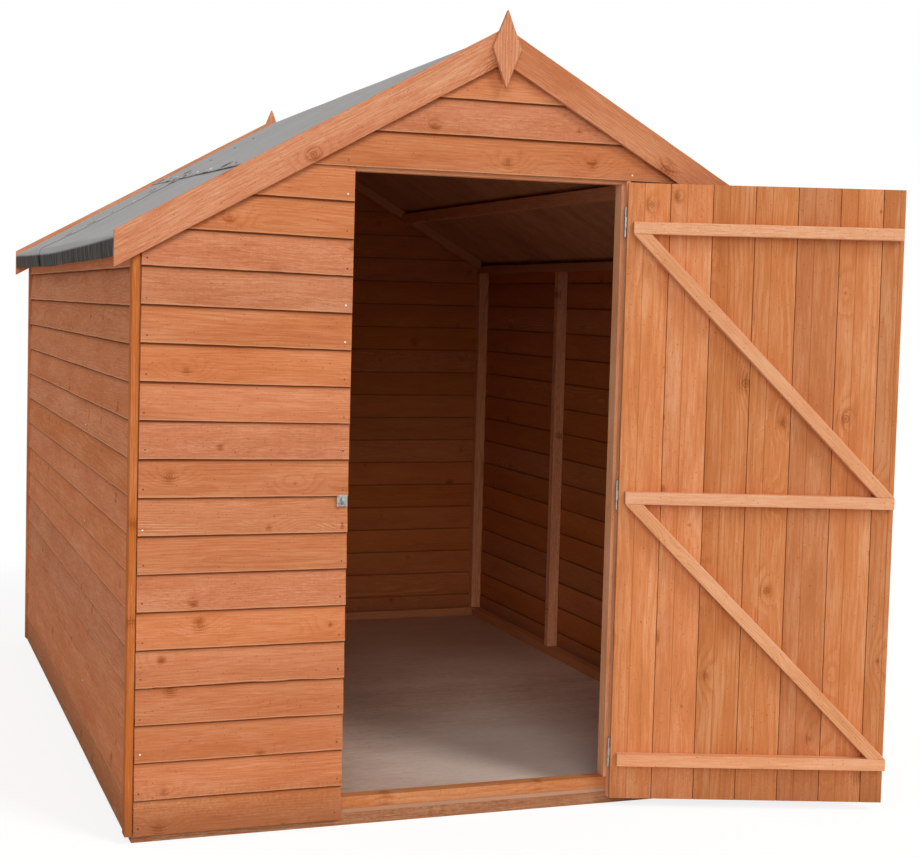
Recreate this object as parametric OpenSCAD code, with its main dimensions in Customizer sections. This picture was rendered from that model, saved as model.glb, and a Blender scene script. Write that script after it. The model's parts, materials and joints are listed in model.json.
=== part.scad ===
// Wooden garden shed with overlap-boarded walls, a felted apex roof and a ledged and braced door.
// Millimetres. The origin is on the ground at the middle of the floor. +Z is up and the door faces -Y.

/* [Walls] */
// Width over the front and rear boards
front_width = 1830; // [1600:10:2400]
// Depth over the front and rear boards
wall_depth = 2440; // [1800:10:3600]
// Thickness of the boarded skin
skin_thick = 14; // [8:1:20]
// Height of the skin's lower edge above the ground
skirt_clear = 20; // [5:1:28]
// Thickness of the strips that cover the board ends at the corners
strip_thick = 18; // [15:1:25]
// Width of the corner strips along the side walls
strip_width = 38; // [25:1:60]

/* [Floor] */
// Height of the bearers
bearer_height = 32; // [30:1:60]
// Width of a bearer
bearer_width = 38; // [30:1:60]
// Number of bearers, odd so that one runs under the middle
bearer_count = 5; // [3:2:9]
// Thickness of the floor deck
floor_thick = 10; // [8:1:20]

/* [Framing] */
// Width of a framing timber as seen from the room
timber_face = 30; // [24:1:40]
// Depth of a framing timber from the skin to the room
timber_depth = 38; // [30:1:50]
// Number of bays between the studs of a side wall
side_bays = 3; // [2:1:6]

/* [Roof] */
// Height of the barge boards' top edges where they meet
ridge_height = 2035; // [1980:1:2400]
// Slope of the roof in degrees
roof_angle = 29.2; // [25:0.1:32]
// Thickness of the roof deck
roof_thick = 12; // [8:1:18]
// Thickness of one layer of felt
felt_thick = 3; // [2:0.5:4]
// How far the deck's edge stands out past the front boards' ends
eave_overhang = 58; // [40:1:100]
// How far the felt is turned down at the eaves
eave_fold = 45; // [30:1:60]
// Half width of the felt strip over the ridge
ridge_strip_half = 650; // [300:10:800]
// Height of the barge boards, measured plumb
barge_height = 89; // [70:1:120]
// Thickness of the barge boards and finials
barge_thick = 12; // [9:1:20]
// Width of a finial
finial_width = 78; // [60:1:100]
// Height of a finial
finial_height = 196; // [150:1:240]
// How far a finial's tip stands above the barge boards
finial_rise = 42; // [20:1:80]

/* [Door] */
// Width of the opening between the boards
opening_width = 745; // [640:1:900]
// How far the opening's middle is off the ridge, towards the hinges
opening_shift = -14; // [-60:1:60]
// Height of the opening's head above the ground
opening_head = 1666; // [1560:1:1700]
// Gap round the closed door
door_gap = 6; // [5:1:10]
// Thickness of the door's boards
door_thick = 12; // [10:1:16]
// Height of a ledge
ledge_height = 32; // [28:1:70]
// Thickness of the ledges and braces
ledge_thick = 28; // [12:1:30]
// Width of a brace across its grain
brace_width = 33; // [28:1:70]
// How far the door stands open at rest, in degrees from closed
door_open = 162; // [0:1:168]

/* [Hidden] */
$fn = 48;
roof_rise = tan(roof_angle);
roof_plumb = 1 / cos(roof_angle);

front_half = front_width / 2;
side_face = front_half + skin_thick;
front_face = -wall_depth / 2;
frame_front = front_face + skin_thick;
frame_half = -frame_front;
room_half_x = front_half - timber_depth;
room_half_y = frame_half - timber_depth;
rear_stud_x = 275;

floor_top = bearer_height + floor_thick;
rail_top = floor_top + timber_face;

// The roof deck lies this far below the barge boards' top edges, and pieces that meet on a slope
// keep a fine joint between them
barge_lip = 20;
slope_joint = 0.5;
eave_edge = front_half + eave_overhang;
roof_half_y = wall_depth / 2 + 2;
purlin_place = 0.58;
purlin_drop = 38;
ridge_beam_drop = 60;
eave_batten_drop = 28;
barge_end = eave_edge + felt_thick + 3;
finial_middle = 0.49;

// The doorway: the hinged post and the head rail stand a little way into the opening and stop the door
opening_left = opening_shift - opening_width / 2;
opening_right = opening_shift + opening_width / 2;
post_lip = 8;
head_lip = 9;
head_rail_height = 38;

// The closed door, and its ledges from the lowest up: each starts at the hinged edge and stops
// a different distance short of the free edge
door_left = opening_left + door_gap;
door_right = opening_right - door_gap;
door_inner = frame_front - 5;
door_outer = door_inner - door_thick;
door_bottom = skirt_clear + 5;
door_top = opening_head - door_gap;
ledge_levels = [134, 834, 1542];
ledge_ends = [1, 5, 8];
ledge_start = 14;

// The T hinges, one near each ledge
hinge_x = opening_right - 4;
hinge_y = front_face - 7;
hinge_levels = [146, 838, 1558];
hinge_length = 78;
hinge_plate_width = 32;
hinge_plate_thick = 2.5;
knuckle_radius = 4;
pin_radius = 2;
pin_clearance = 0.08;
strap_length = 300;
strap_root = 28;
strap_tip = 16;
strap_thick = 2;

// The hasp and its staple
staple_x = opening_left - 16;
staple_plate = [27, 2, 29];
staple_ring = 8;
staple_wire = 2.2;
hasp_reach = 45;
hasp_leaf = [70, 2, 28];
hasp_hinge_radius = 3;

board_colour = "#CF8058";
shade_colour = "#B97048";
strip_colour = "#C87A45";
frame_colour = "#8A4A2A";
door_colour = "#D0804F";
ledge_colour = "#DC9A72";
floor_colour = "#B89468";
felt_colour = "#9C9EA0";
zinc_colour = "#A9ABA8";

// Heights at a distance x from the ridge: the roof deck's two faces, what carries the deck, and
// the underside of the felt
function deck_top(x) = ridge_height - barge_lip - roof_rise * x;
function deck_under(x) = deck_top(x) - roof_thick * roof_plumb;
function seat(x) = deck_under(x) - slope_joint;
function felt_under(x) = deck_top(x) + slope_joint;

// A box between two corners
module block(low, high) {
    translate(low) cube(high - low);
}

// An outline in X and Z, run along Y from y0 to y1
module prism_y(points, y0, y1) {
    translate([0, y1, 0]) rotate([90, 0, 0]) linear_extrude(y1 - y0) polygon(points);
}

module on_left() {
    mirror([1, 0, 0]) children();
}

module on_rear() {
    mirror([0, 1, 0]) children();
}

// ---- Floor ----

module floor_bearers() {
    pitch = (2 * frame_half - bearer_width) / (bearer_count - 1);
    color(frame_colour) for (i = [0 : bearer_count - 1]) {
        y = frame_front + i * pitch;
        block([-front_half, y, 0], [front_half, y + bearer_width, bearer_height]);
    }
}

module floor_deck() {
    color(floor_colour)
        block([-front_half, -frame_half, bearer_height], [front_half, frame_half, floor_top]);
}

// ---- Side walls, drawn on the right ----

module side_boards() {
    y = wall_depth / 2 - strip_width;
    block([front_half, -y, skirt_clear], [side_face, y, seat(side_face)]);
}

module side_rails() {
    plate_top = seat(front_half);
    block([room_half_x, -frame_half, floor_top], [front_half, frame_half, rail_top]);
    block([room_half_x, -frame_half, plate_top - timber_face], [front_half, frame_half, plate_top]);
}

module side_studs() {
    stud_top = seat(front_half) - timber_face;
    pitch = (2 * frame_half - timber_face) / side_bays;
    for (i = [0 : side_bays]) {
        y = -frame_half + i * pitch;
        block([room_half_x, y, rail_top], [front_half, y + timber_face, stud_top]);
    }
}

module right_wall_boards() {
    color(shade_colour) side_boards();
}

module right_wall_rails() {
    color(frame_colour) side_rails();
}

module right_wall_studs() {
    color(frame_colour) side_studs();
}

module left_wall_boards() {
    color(shade_colour) on_left() side_boards();
}

module left_wall_rails() {
    color(frame_colour) on_left() side_rails();
}

module left_wall_studs() {
    color(frame_colour) on_left() side_studs();
}

// One strip at each corner, over the ends of the side boards
module corner_strip() {
    y = wall_depth / 2;
    x = front_half + strip_thick;
    block([front_half, -y, skirt_clear], [x, strip_width - y, seat(x)]);
}

module corner_strips() {
    color(strip_colour) {
        corner_strip();
        on_left() corner_strip();
        on_rear() corner_strip();
        on_left() on_rear() corner_strip();
    }
}

// ---- End walls ----

module rear_wall_boards() {
    outline = [[-front_half, skirt_clear], [front_half, skirt_clear], [front_half, seat(front_half)],
        [0, seat(0)], [-front_half, seat(front_half)]];
    color(board_colour) prism_y(outline, frame_half, wall_depth / 2);
}

// The boards beside the doorway, up to the opening's head, drawn on the right from their inner edge
module doorway_boards(inner) {
    shoulder = (seat(0) - opening_head) / roof_rise;
    outline = [[inner, skirt_clear], [front_half, skirt_clear], [front_half, seat(front_half)],
        [shoulder, opening_head], [inner, opening_head]];
    prism_y(outline, front_face, frame_front);
}

module front_boards_right() {
    color(board_colour) doorway_boards(opening_right);
}

module front_boards_left() {
    color(board_colour) on_left() doorway_boards(-opening_left);
}

module front_gable_boards() {
    shoulder = (seat(0) - opening_head) / roof_rise;
    outline = [[-shoulder, opening_head], [shoulder, opening_head], [0, seat(0)]];
    color(board_colour) prism_y(outline, front_face, frame_front);
}

// The two corner studs of the front wall, then the bottom rail of an end wall drawn at the front
module end_studs() {
    stud_top = seat(room_half_x) - timber_face * roof_plumb;
    for (x = [-room_half_x, room_half_x - timber_face])
        block([x, frame_front, rail_top], [x + timber_face, -room_half_y, stud_top]);
}

module end_rail() {
    block([-room_half_x, frame_front, floor_top], [room_half_x, -room_half_y, rail_top]);
}

// Two rafters under the roof deck that leave a fine joint at the ridge
module end_rafters() {
    joint = 1;
    drop = timber_face * roof_plumb;
    outline = [[joint, seat(joint)], [room_half_x, seat(room_half_x)],
        [room_half_x, seat(room_half_x) - drop], [joint, seat(joint) - drop]];
    prism_y(outline, frame_front, -room_half_y);
    on_left() prism_y(outline, frame_front, -room_half_y);
}

module front_wall_studs() {
    color(frame_colour) end_studs();
}

module front_bottom_rail() {
    color(frame_colour) end_rail();
}

module front_gable_rafters() {
    color(frame_colour) end_rafters();
}

// The rear boards are fixed to the side walls' corner studs, and to two studs between them
module rear_wall_studs() {
    outer = rear_stud_x + timber_face / 2;
    top = seat(outer) - timber_face * roof_plumb - slope_joint;
    color(frame_colour) for (low = [-outer, outer - timber_face])
        block([low, room_half_y, rail_top], [low + timber_face, frame_half, top]);
}

module rear_bottom_rail() {
    color(frame_colour) on_rear() end_rail();
}

module rear_gable_rafters() {
    color(frame_colour) on_rear() end_rafters();
}

// ---- Doorway ----

module door_posts() {
    post_top = opening_head - head_lip;
    color(frame_colour) for (low = [opening_left - timber_face, opening_right - post_lip])
        block([low, frame_front, rail_top], [low + timber_face, -room_half_y, post_top]);
}

module door_head_rail() {
    bottom = opening_head - head_lip;
    color(frame_colour)
        block([opening_left - timber_face, frame_front, bottom],
            [opening_right + timber_face, -room_half_y, bottom + head_rail_height]);
}

// ---- Roof ----

module roof_purlins() {
    x = purlin_place * front_half;
    top = seat(x + timber_face);
    color(frame_colour) for (low = [x, -x - timber_face])
        block([low, -room_half_y, top - purlin_drop], [low + timber_face, room_half_y, top]);
}

module ridge_beam() {
    half = timber_face / 2;
    top = seat(half);
    color(frame_colour)
        block([-half, -room_half_y, top - ridge_beam_drop], [half, room_half_y, top]);
}

module roof_slope() {
    outline = [[0, deck_under(0)], [eave_edge, deck_under(eave_edge)],
        [eave_edge, deck_top(eave_edge)], [0, deck_top(0)]];
    prism_y(outline, -roof_half_y, roof_half_y);
}

module roof_deck_right() {
    color(frame_colour) roof_slope();
}

module roof_deck_left() {
    color(frame_colour) on_left() roof_slope();
}

module eave_batten() {
    inner = eave_edge - timber_face;
    bottom = deck_under(eave_edge) - eave_batten_drop;
    outline = [[inner, bottom], [eave_edge, bottom],
        [eave_edge, seat(eave_edge)], [inner, seat(inner)]];
    prism_y(outline, -roof_half_y, roof_half_y);
}

module eave_battens() {
    color(frame_colour) {
        eave_batten();
        on_left() eave_batten();
    }
}

// The felt of one slope, turned down over the eave batten
module felt_slope() {
    layer = felt_thick * roof_plumb;
    outer = eave_edge + felt_thick;
    fold_bottom = felt_under(eave_edge) + layer - eave_fold;
    outline = [[0, felt_under(0)], [eave_edge, felt_under(eave_edge)], [eave_edge, fold_bottom],
        [outer, fold_bottom], [outer, felt_under(outer) + layer], [0, felt_under(0) + layer]];
    prism_y(outline, -roof_half_y, roof_half_y);
}

module roof_felt_right() {
    color(felt_colour) felt_slope();
}

module roof_felt_left() {
    color(felt_colour) on_left() felt_slope();
}

// The last strip of felt, laid over the ridge and down both slopes
module roof_felt_ridge() {
    layer = felt_thick * roof_plumb;
    lift = layer + slope_joint;
    half = ridge_strip_half;
    outline = [[-half, felt_under(half) + lift], [0, felt_under(0) + lift], [half, felt_under(half) + lift],
        [half, felt_under(half) + lift + layer], [0, felt_under(0) + lift + layer],
        [-half, felt_under(half) + lift + layer]];
    color(felt_colour) prism_y(outline, -roof_half_y, roof_half_y);
}

// A barge board with plumb-cut ends, drawn at the front on the right
module barge() {
    end_top = ridge_height - roof_rise * barge_end;
    outline = [[0, ridge_height], [0, ridge_height - barge_height],
        [barge_end, end_top - barge_height], [barge_end, end_top]];
    prism_y(outline, -roof_half_y - barge_thick, -roof_half_y);
}

module front_barge_right() {
    color(board_colour) barge();
}

module front_barge_left() {
    color(board_colour) on_left() barge();
}

module rear_barge_right() {
    color(board_colour) on_rear() barge();
}

module rear_barge_left() {
    color(board_colour) on_rear() on_left() barge();
}

// A kite-shaped board over the joint of the barge boards
module finial() {
    tip = ridge_height + finial_rise;
    middle = tip - finial_middle * finial_height;
    half = finial_width / 2;
    outline = [[0, tip], [half, middle], [0, tip - finial_height], [-half, middle]];
    prism_y(outline, -roof_half_y - 2 * barge_thick, -roof_half_y - barge_thick);
}

module front_finial() {
    color(strip_colour) finial();
}

module rear_finial() {
    color(strip_colour) on_rear() finial();
}

// ---- Hardware on the walls ----

// The plate of a T hinge with its two outer knuckles and the pin
module hinge_plate() {
    plate_x = hinge_x + 1;
    half = hinge_length / 2;
    inner = strap_root / 2 + 1;
    block([plate_x, front_face - hinge_plate_thick, -half], [plate_x + hinge_plate_width, front_face, half]);
    translate([hinge_x, hinge_y, -half]) cylinder(r = pin_radius, h = hinge_length);
    for (low = [-half, inner]) {
        translate([hinge_x, hinge_y, low]) cylinder(r = knuckle_radius, h = half - inner);
        block([hinge_x, hinge_y, low], [plate_x + knuckle_radius, front_face, low + half - inner]);
    }
}

module hinge_plates() {
    color(zinc_colour) for (z = hinge_levels) translate([0, 0, z]) hinge_plate();
}

// A small plate with an upright ring, beside the opening at the middle ledge
module hasp_staple() {
    z = ledge_levels[1];
    color(zinc_colour) {
        translate([staple_x - staple_plate[0] / 2, front_face - staple_plate[1], z - staple_plate[2] / 2])
            cube(staple_plate);
        translate([staple_x, front_face - staple_plate[1] / 2, z]) mirror([0, 1, 0]) rotate([0, 90, 0])
            rotate_extrude(angle = 180) translate([staple_ring, 0]) circle(r = staple_wire, $fn = 24);
    }
}

// ---- Door, drawn closed ----

module door_place() {
    translate([hinge_x, hinge_y, 0]) rotate([0, 0, door_open]) translate([-hinge_x, -hinge_y, 0]) children();
}

module door_boards() {
    color(door_colour) door_place()
        block([door_left, door_outer, door_bottom], [door_right, door_inner, door_top]);
}

module door_ledges() {
    color(ledge_colour) door_place() for (i = [0 : 2]) {
        z = ledge_levels[i] - ledge_height / 2;
        block([door_left + ledge_ends[i], door_inner, z],
            [door_right - ledge_start, door_inner + ledge_thick, z + ledge_height]);
    }
}

// Each brace falls from under a ledge at the hinged edge to the top of the next at the free edge
module door_braces() {
    hinge_end = door_right - ledge_start;
    color(door_colour) door_place() for (i = [0, 1]) {
        free_end = door_left + ledge_ends[i];
        low = ledge_levels[i] + ledge_height / 2;
        high = ledge_levels[i + 1] - ledge_height / 2;
        across = brace_width / sin(atan((high - low) / (hinge_end - free_end)));
        outline = [[hinge_end, high], [hinge_end - across, high], [free_end, low], [free_end + across, low]];
        prism_y(outline, door_inner, door_inner + ledge_thick);
    }
}

// The strap of a T hinge with its middle knuckle, bored for the pin
module hinge_strap() {
    root = strap_root / 2;
    tip = strap_tip / 2;
    outline = [[hinge_x, -root], [hinge_x, root], [hinge_x - strap_length, tip], [hinge_x - strap_length, -tip]];
    difference() {
        union() {
            prism_y(outline, door_outer - strap_thick, door_outer);
            translate([hinge_x, hinge_y, -root]) cylinder(r = knuckle_radius, h = strap_root);
        }
        translate([hinge_x, hinge_y, -root - 1]) cylinder(r = pin_radius + pin_clearance, h = strap_root + 2);
    }
}

module hinge_straps() {
    color(zinc_colour) door_place() for (z = hinge_levels) translate([0, 0, z]) hinge_strap();
}

// A hasp whose slotted leaf is folded back on its plate, ready to reach over the staple
module hasp() {
    z = ledge_levels[1];
    pivot_x = staple_x + hasp_reach;
    pivot_y = door_outer - hasp_hinge_radius;
    half = hasp_leaf[2] / 2;
    color(zinc_colour) door_place() {
        block([pivot_x, door_outer - strap_thick, z - half], [pivot_x + hasp_reach, door_outer, z + half]);
        translate([pivot_x, pivot_y, z - half]) cylinder(r = hasp_hinge_radius, h = 2 * half);
        difference() {
            translate([pivot_x, pivot_y - hasp_hinge_radius, z - half]) cube(hasp_leaf);
            translate([pivot_x + hasp_reach - 4, pivot_y - hasp_hinge_radius - 1, z - 11]) cube([8, 4, 22]);
        }
    }
}

floor_bearers();
floor_deck();
left_wall_boards();
left_wall_studs();
left_wall_rails();
right_wall_boards();
right_wall_studs();
right_wall_rails();
rear_wall_boards();
rear_wall_studs();
rear_bottom_rail();
rear_gable_rafters();
front_boards_left();
front_boards_right();
front_gable_boards();
front_wall_studs();
front_bottom_rail();
front_gable_rafters();
door_posts();
door_head_rail();
corner_strips();
roof_purlins();
ridge_beam();
roof_deck_left();
roof_deck_right();
eave_battens();
roof_felt_left();
roof_felt_right();
roof_felt_ridge();
front_barge_left();
front_barge_right();
rear_barge_left();
rear_barge_right();
front_finial();
rear_finial();
hinge_plates();
hasp_staple();
door_boards();
door_ledges();
door_braces();
hinge_straps();
hasp();
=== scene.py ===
import json
import math
import random

import bmesh
import bpy
from bpy.props import FloatProperty, FloatVectorProperty, IntProperty, PointerProperty
from mathutils import Matrix, Vector, noise


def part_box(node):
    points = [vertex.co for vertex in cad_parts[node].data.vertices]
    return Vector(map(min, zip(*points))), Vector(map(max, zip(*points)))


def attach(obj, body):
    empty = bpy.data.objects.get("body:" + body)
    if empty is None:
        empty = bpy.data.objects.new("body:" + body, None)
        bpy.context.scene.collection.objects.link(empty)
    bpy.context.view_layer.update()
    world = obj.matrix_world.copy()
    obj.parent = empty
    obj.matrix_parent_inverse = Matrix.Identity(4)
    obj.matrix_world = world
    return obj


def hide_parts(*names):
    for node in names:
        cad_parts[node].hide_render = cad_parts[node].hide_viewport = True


bl_info = {
    "name": "Garden Shed",
    "version": (1, 0, 0),
    "blender": (4, 5, 0),
    "location": "View3D > Sidebar > Shed",
    "description": "Boards, timbers, roof felt, door and fixings of a small wooden shed",
    "category": "Object",
}

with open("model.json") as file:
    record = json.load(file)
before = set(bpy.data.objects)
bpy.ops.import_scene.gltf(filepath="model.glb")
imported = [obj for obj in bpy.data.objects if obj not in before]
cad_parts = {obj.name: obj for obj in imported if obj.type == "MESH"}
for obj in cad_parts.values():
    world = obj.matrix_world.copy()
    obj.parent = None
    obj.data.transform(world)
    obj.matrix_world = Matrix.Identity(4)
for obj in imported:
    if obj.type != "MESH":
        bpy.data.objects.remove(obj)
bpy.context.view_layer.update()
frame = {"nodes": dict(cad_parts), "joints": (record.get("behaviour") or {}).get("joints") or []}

# ---- Sizes that come from the frame, in metres ----

HINGE = frame["joints"][0]
HINGE_POINT = Vector(HINGE["pos_m"])
DOOR_SWING = math.radians(-HINGE["range_deg"][0])
GABLE_LOW, GABLE_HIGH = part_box("front_gable_boards")
ROOF_RISE = (GABLE_HIGH.z - GABLE_LOW.z) / GABLE_HIGH.x
ROOF_SLOPE = math.atan(ROOF_RISE)
HEAD_LEVEL = GABLE_LOW.z
SEAT_LEVEL = GABLE_HIGH.z
SKIRT_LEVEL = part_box("front_boards_left")[0].z


def door_place():
    """The matrix that swings the closed door to where it stands at rest."""
    there = Matrix.Translation(HINGE_POINT)
    return there @ Matrix.Rotation(DOOR_SWING, 4, "Z") @ there.inverted()


def closed_box(node):
    """Lowest and highest corner of a door node with the door closed."""
    back = door_place().inverted()
    points = [back @ v.co for v in frame["nodes"][node].data.vertices]
    low = Vector(min(p[i] for p in points) for i in range(3))
    high = Vector(max(p[i] for p in points) for i in range(3))
    return low, high


# ---- Colours ----


def linear(hex_colour):
    """An sRGB hex colour as linear red, green, blue and an alpha of 1."""
    channels = [int(hex_colour[i : i + 2], 16) / 255 for i in (1, 3, 5)]
    return tuple(c / 12.92 if c <= 0.04045 else ((c + 0.055) / 1.055) ** 2.4 for c in channels) + (1.0,)


def dimmed(shade, share):
    """A share of a colour's light."""
    return [c * share for c in shade[:3]] + [1.0]


def colour(name, description, hex_colour):
    """A colour setting with an sRGB hex default."""
    return FloatVectorProperty(
        name=name,
        description=description,
        default=linear(hex_colour),
        size=4,
        min=0.0,
        max=1.0,
        subtype="COLOR",
    )


def length(name, description, metres):
    """A length setting in metres."""
    return FloatProperty(name=name, description=description, default=metres, unit="LENGTH", precision=4)


# ---- Settings ----


class CladdingSettings(bpy.types.PropertyGroup):
    """Overlap boards of the four walls."""

    first_course: length("First course", "Height that the lowest board shows", 0.088)
    course: length("Course", "Height that every other board shows", 0.0924)
    lap: length("Lap", "How far a board runs up behind the next one", 0.014)
    thickness: length("Thickness", "Thickness of a board", 0.0064)
    edge_radius: length("Edge radius", "Rounding of the sawn edges", 0.0009)
    wander: length("Edge wander", "How far a lower edge strays from a straight line", 0.0028)
    bow: length("Bow", "How far a board's face strays from flat", 0.0007)
    jamb: length("Jamb", "Width of the strip over the boards' ends beside the hinges", 0.011)
    end_gap: length("End gap", "Gap between the front boards' ends and the corner strips", 0.0035)
    settle: FloatProperty(
        name="Settle",
        description="Slant of the upper boards beside the doorway",
        default=math.radians(1.25),
        subtype="ANGLE",
    )
    seed: IntProperty(name="Seed", description="Seed of the boards' irregular shapes", default=95, min=0)


class DoorSettings(bpy.types.PropertyGroup):
    """The ledged and braced door."""

    board_cover: length("Board cover", "Width that each door board covers", 0.1125)
    joint: length("Joint", "Gap between two door boards", 0.0012)
    groove: length("Groove", "Size of the chamfer along each board", 0.0014)
    ledge_edge: length("Ledge edge", "Rounding of the ledges and braces", 0.0022)
    seed: IntProperty(name="Seed", description="Seed of the door boards' figure", default=89, min=0)


class RoofSettings(bpy.types.PropertyGroup):
    """Roof felt and its clout nails."""

    felt: length("Felt", "Thickness of one layer of felt", 0.0025)
    ripple: length("Ripple", "Height of the felt's soft waves", 0.0022)
    sag: length("Sag", "How far the turned-down edge bulges and sags", 0.008)
    lap_line: length("Lap line", "Least distance of the ridge strip's edge from the ridge", 0.535)
    lap_skew: length("Lap skew", "How much farther the strip's edge is at its other end", 0.19)
    seam: length("Seam", "Distance of the side lap from the middle, towards the rear", 0.39)
    clout_gap: length("Clout gap", "Distance between the clout nails", 0.15)
    seed: IntProperty(name="Seed", description="Seed of the nails' places", default=5, min=0)


class FinishSettings(bpy.types.PropertyGroup):
    """Colours of the timber, the felt and the metal."""

    wall_pale: colour("Wall pale", "Torn, pale fibres of the wall boards", "#E2A67E")
    wall_base: colour("Wall base", "Stained wall boards", "#C77A50")
    wall_dark: colour("Wall dark", "Late wood of the wall boards", "#9A5028")
    # Painted shade: faces towards the room, and the rafters and rails inside it, take these three colours
    room_pale: colour("Room pale", "Pale wood of the faces towards the room", "#CF7B44")
    room_dark: colour("Room dark", "Dark wood of the faces towards the room", "#954C26")
    rafter: colour("Rafter", "Rafters of the rear gable and the rails", "#BC7850")
    trim_pale: colour("Trim pale", "Torn, pale fibres of barge boards and finials", "#E6B68F")
    trim_base: colour("Trim base", "Stained barge boards and finials", "#C87F58")
    trim_dark: colour("Trim dark", "Late wood of barge boards and finials", "#9C552E")
    strip_base: colour("Strip base", "Stained corner strips", "#BE6C3A")
    frame_pale: colour("Frame pale", "Pale wood of the framing", "#E8B088")
    frame_base: colour("Frame base", "Stained framing", "#D88E62")
    frame_dark: colour("Frame dark", "Late wood of the framing", "#8A4826")
    door_pale: colour("Door pale", "Pale figure of the door boards", "#E9B387")
    door_base: colour("Door base", "Stained door boards", "#CA7C4A")
    door_dark: colour("Door dark", "Late wood of the door boards", "#A25A2A")
    ledge_pale: colour("Ledge pale", "Pale wood of ledges and braces", "#F2CBAC")
    ledge_base: colour("Ledge base", "Stained ledges and braces", "#DE9C70")
    ledge_dark: colour("Ledge dark", "Late wood of ledges and braces", "#A8663C")
    # Painted shade: edge colours downward faces, door joints and the shade under laps; joint the lap line
    edge: colour("Edge", "Sawn edges, which take more stain", "#7C3C1C")
    joint: colour("Joint shade", "The shaded joint between two overlapping boards", "#6A3212")
    knot: colour("Knot", "Knots in every board", "#8C4620")
    dirt: colour("Dirt", "Splashed soil near the ground", "#6B452E")
    bearer: colour("Bearer", "Stained bearers", "#C07C52")
    floor: colour("Floor", "Floor board", "#EACAB6")
    deck: colour("Deck", "Rough sheet under the roof", "#CC8E62")
    felt: colour("Felt", "Mineral grains of the roof felt", "#B9B7B5")
    felt_fold: colour("Felt fold", "Bitumen that shows where the felt is turned down", "#312823")
    zinc: colour("Zinc", "Zinc plating", "#B4B2AE")
    nail: colour("Nail", "Stained nail heads", "#5A3A26")


class StageSettings(bpy.types.PropertyGroup):
    """Camera, light and floor."""

    camera_place: FloatVectorProperty(
        name="Camera place",
        description="Where the camera stands",
        default=(-1.5606, -5.1366, 1.3335),
        subtype="TRANSLATION",
        unit="LENGTH",
    )
    heading: FloatProperty(
        name="Heading",
        description="Direction the camera looks, clockwise from +Y",
        default=math.radians(19.5),
        subtype="ANGLE",
    )
    dip: FloatProperty(
        name="Dip",
        description="How far the camera looks down",
        default=math.radians(3.45),
        subtype="ANGLE",
    )
    roll: FloatProperty(
        name="Roll",
        description="How far the camera leans to the left",
        default=math.radians(1.45),
        subtype="ANGLE",
    )
    lens: FloatProperty(name="Lens", description="Focal length in millimetres", default=64.1, min=1.0)
    shift_x: FloatProperty(name="Shift X", description="Sideways shift of the view", default=0.0319)
    shift_y: FloatProperty(name="Shift Y", description="Upward shift of the view", default=-0.0292)
    sky: FloatProperty(name="Sky", description="Strength of the even light", default=0.38, min=0.0)
    sun: FloatProperty(name="Sun", description="Strength of the soft main light", default=1.15, min=0.0)
    front: FloatProperty(name="Front", description="Strength of the low front light", default=1.2, min=0.0)


# ---- Building blocks ----

# Settings that many nodes share: a range mapped with soft ends, and a mix of two colours
SMOOTH = {"interpolation_type": "SMOOTHSTEP"}
BLEND = {"data_type": "RGBA", "out": 2}


def add(tree, kind, *values, out=0, stops=(), **settings):
    """Add a node and return its output, by number or name, or all of them where out is None.

    kind is the node's type, without ShaderNode where it starts so, and after a space its operation.
    values go to its inputs in their order, or by number or name from one dictionary: an output is
    linked, and anything else is set. stops are the places and colours of a colour ramp, and
    settings the node's own properties.
    """
    kind, _, operation = kind.partition(" ")
    known = kind.startswith(("Geometry", "Function", "NodeGroup"))
    node = tree.nodes.new(kind if known else "ShaderNode" + kind)
    if operation:
        node.operation = operation
    for key, value in settings.items():
        setattr(node, key, value)
    given = values[0] if values and isinstance(values[0], dict) else dict(enumerate(values))
    for key, value in given.items():
        if isinstance(value, bpy.types.NodeSocket):
            tree.links.new(value, node.inputs[key])
        else:
            node.inputs[key].default_value = value
    for i, (place, shade) in enumerate(stops):
        elements = node.color_ramp.elements
        element = elements[i] if i < len(elements) else elements.new(place)
        element.position = place
        element.color = shade
    return node.outputs if out is None else node.outputs[out]


def make_piece(name, mesh, body, replaces=()):
    """Link a finished mesh as a piece that rides on a body and stands for some nodes."""
    mesh.name = name
    piece = bpy.data.objects.new(name, mesh)
    bpy.context.scene.collection.objects.link(piece)
    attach(piece, body)
    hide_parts(*replaces)
    return piece


def mark(mesh, **attributes):
    """Give a mesh's points named numbers or vectors."""
    for name, values in attributes.items():
        if isinstance(values[0], Vector):
            parts = [c for value in values for c in value]
            mesh.attributes.new(name, "FLOAT_VECTOR", "POINT").data.foreach_set("vector", parts)
        else:
            mesh.attributes.new(name, "FLOAT", "POINT").data.foreach_set("value", values)


def grow(tree, values, start=None):
    """Run a geometry tree with named inputs and return its result as a plain mesh."""
    carrier = bpy.data.objects.new("carrier", start or bpy.data.meshes.new("carrier"))
    bpy.context.scene.collection.objects.link(carrier)
    modifier = carrier.modifiers.new("Grow", "NODES")
    modifier.node_group = tree
    for name, value in values.items():
        modifier[tree.interface.items_tree[name].identifier] = value
    evaluated = carrier.evaluated_get(bpy.context.evaluated_depsgraph_get())
    mesh = bpy.data.meshes.new_from_object(evaluated)
    carrier.modifiers.remove(modifier)
    bpy.data.objects.remove(carrier)
    return mesh


def new_tree(name, inputs):
    """A geometry tree with the named inputs, given as (name, kind, default)."""
    tree = bpy.data.node_groups.new(name, "GeometryNodeTree")
    tree.interface.new_socket("Geometry", in_out="OUTPUT", socket_type="NodeSocketGeometry")
    for label, kind, default in inputs:
        socket = tree.interface.new_socket(label, in_out="INPUT", socket_type="NodeSocket" + kind)
        if default is not None:
            socket.default_value = default
    return tree


# ---- Boards: one tree makes the walls' overlap boards and the door's boards ----


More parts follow.
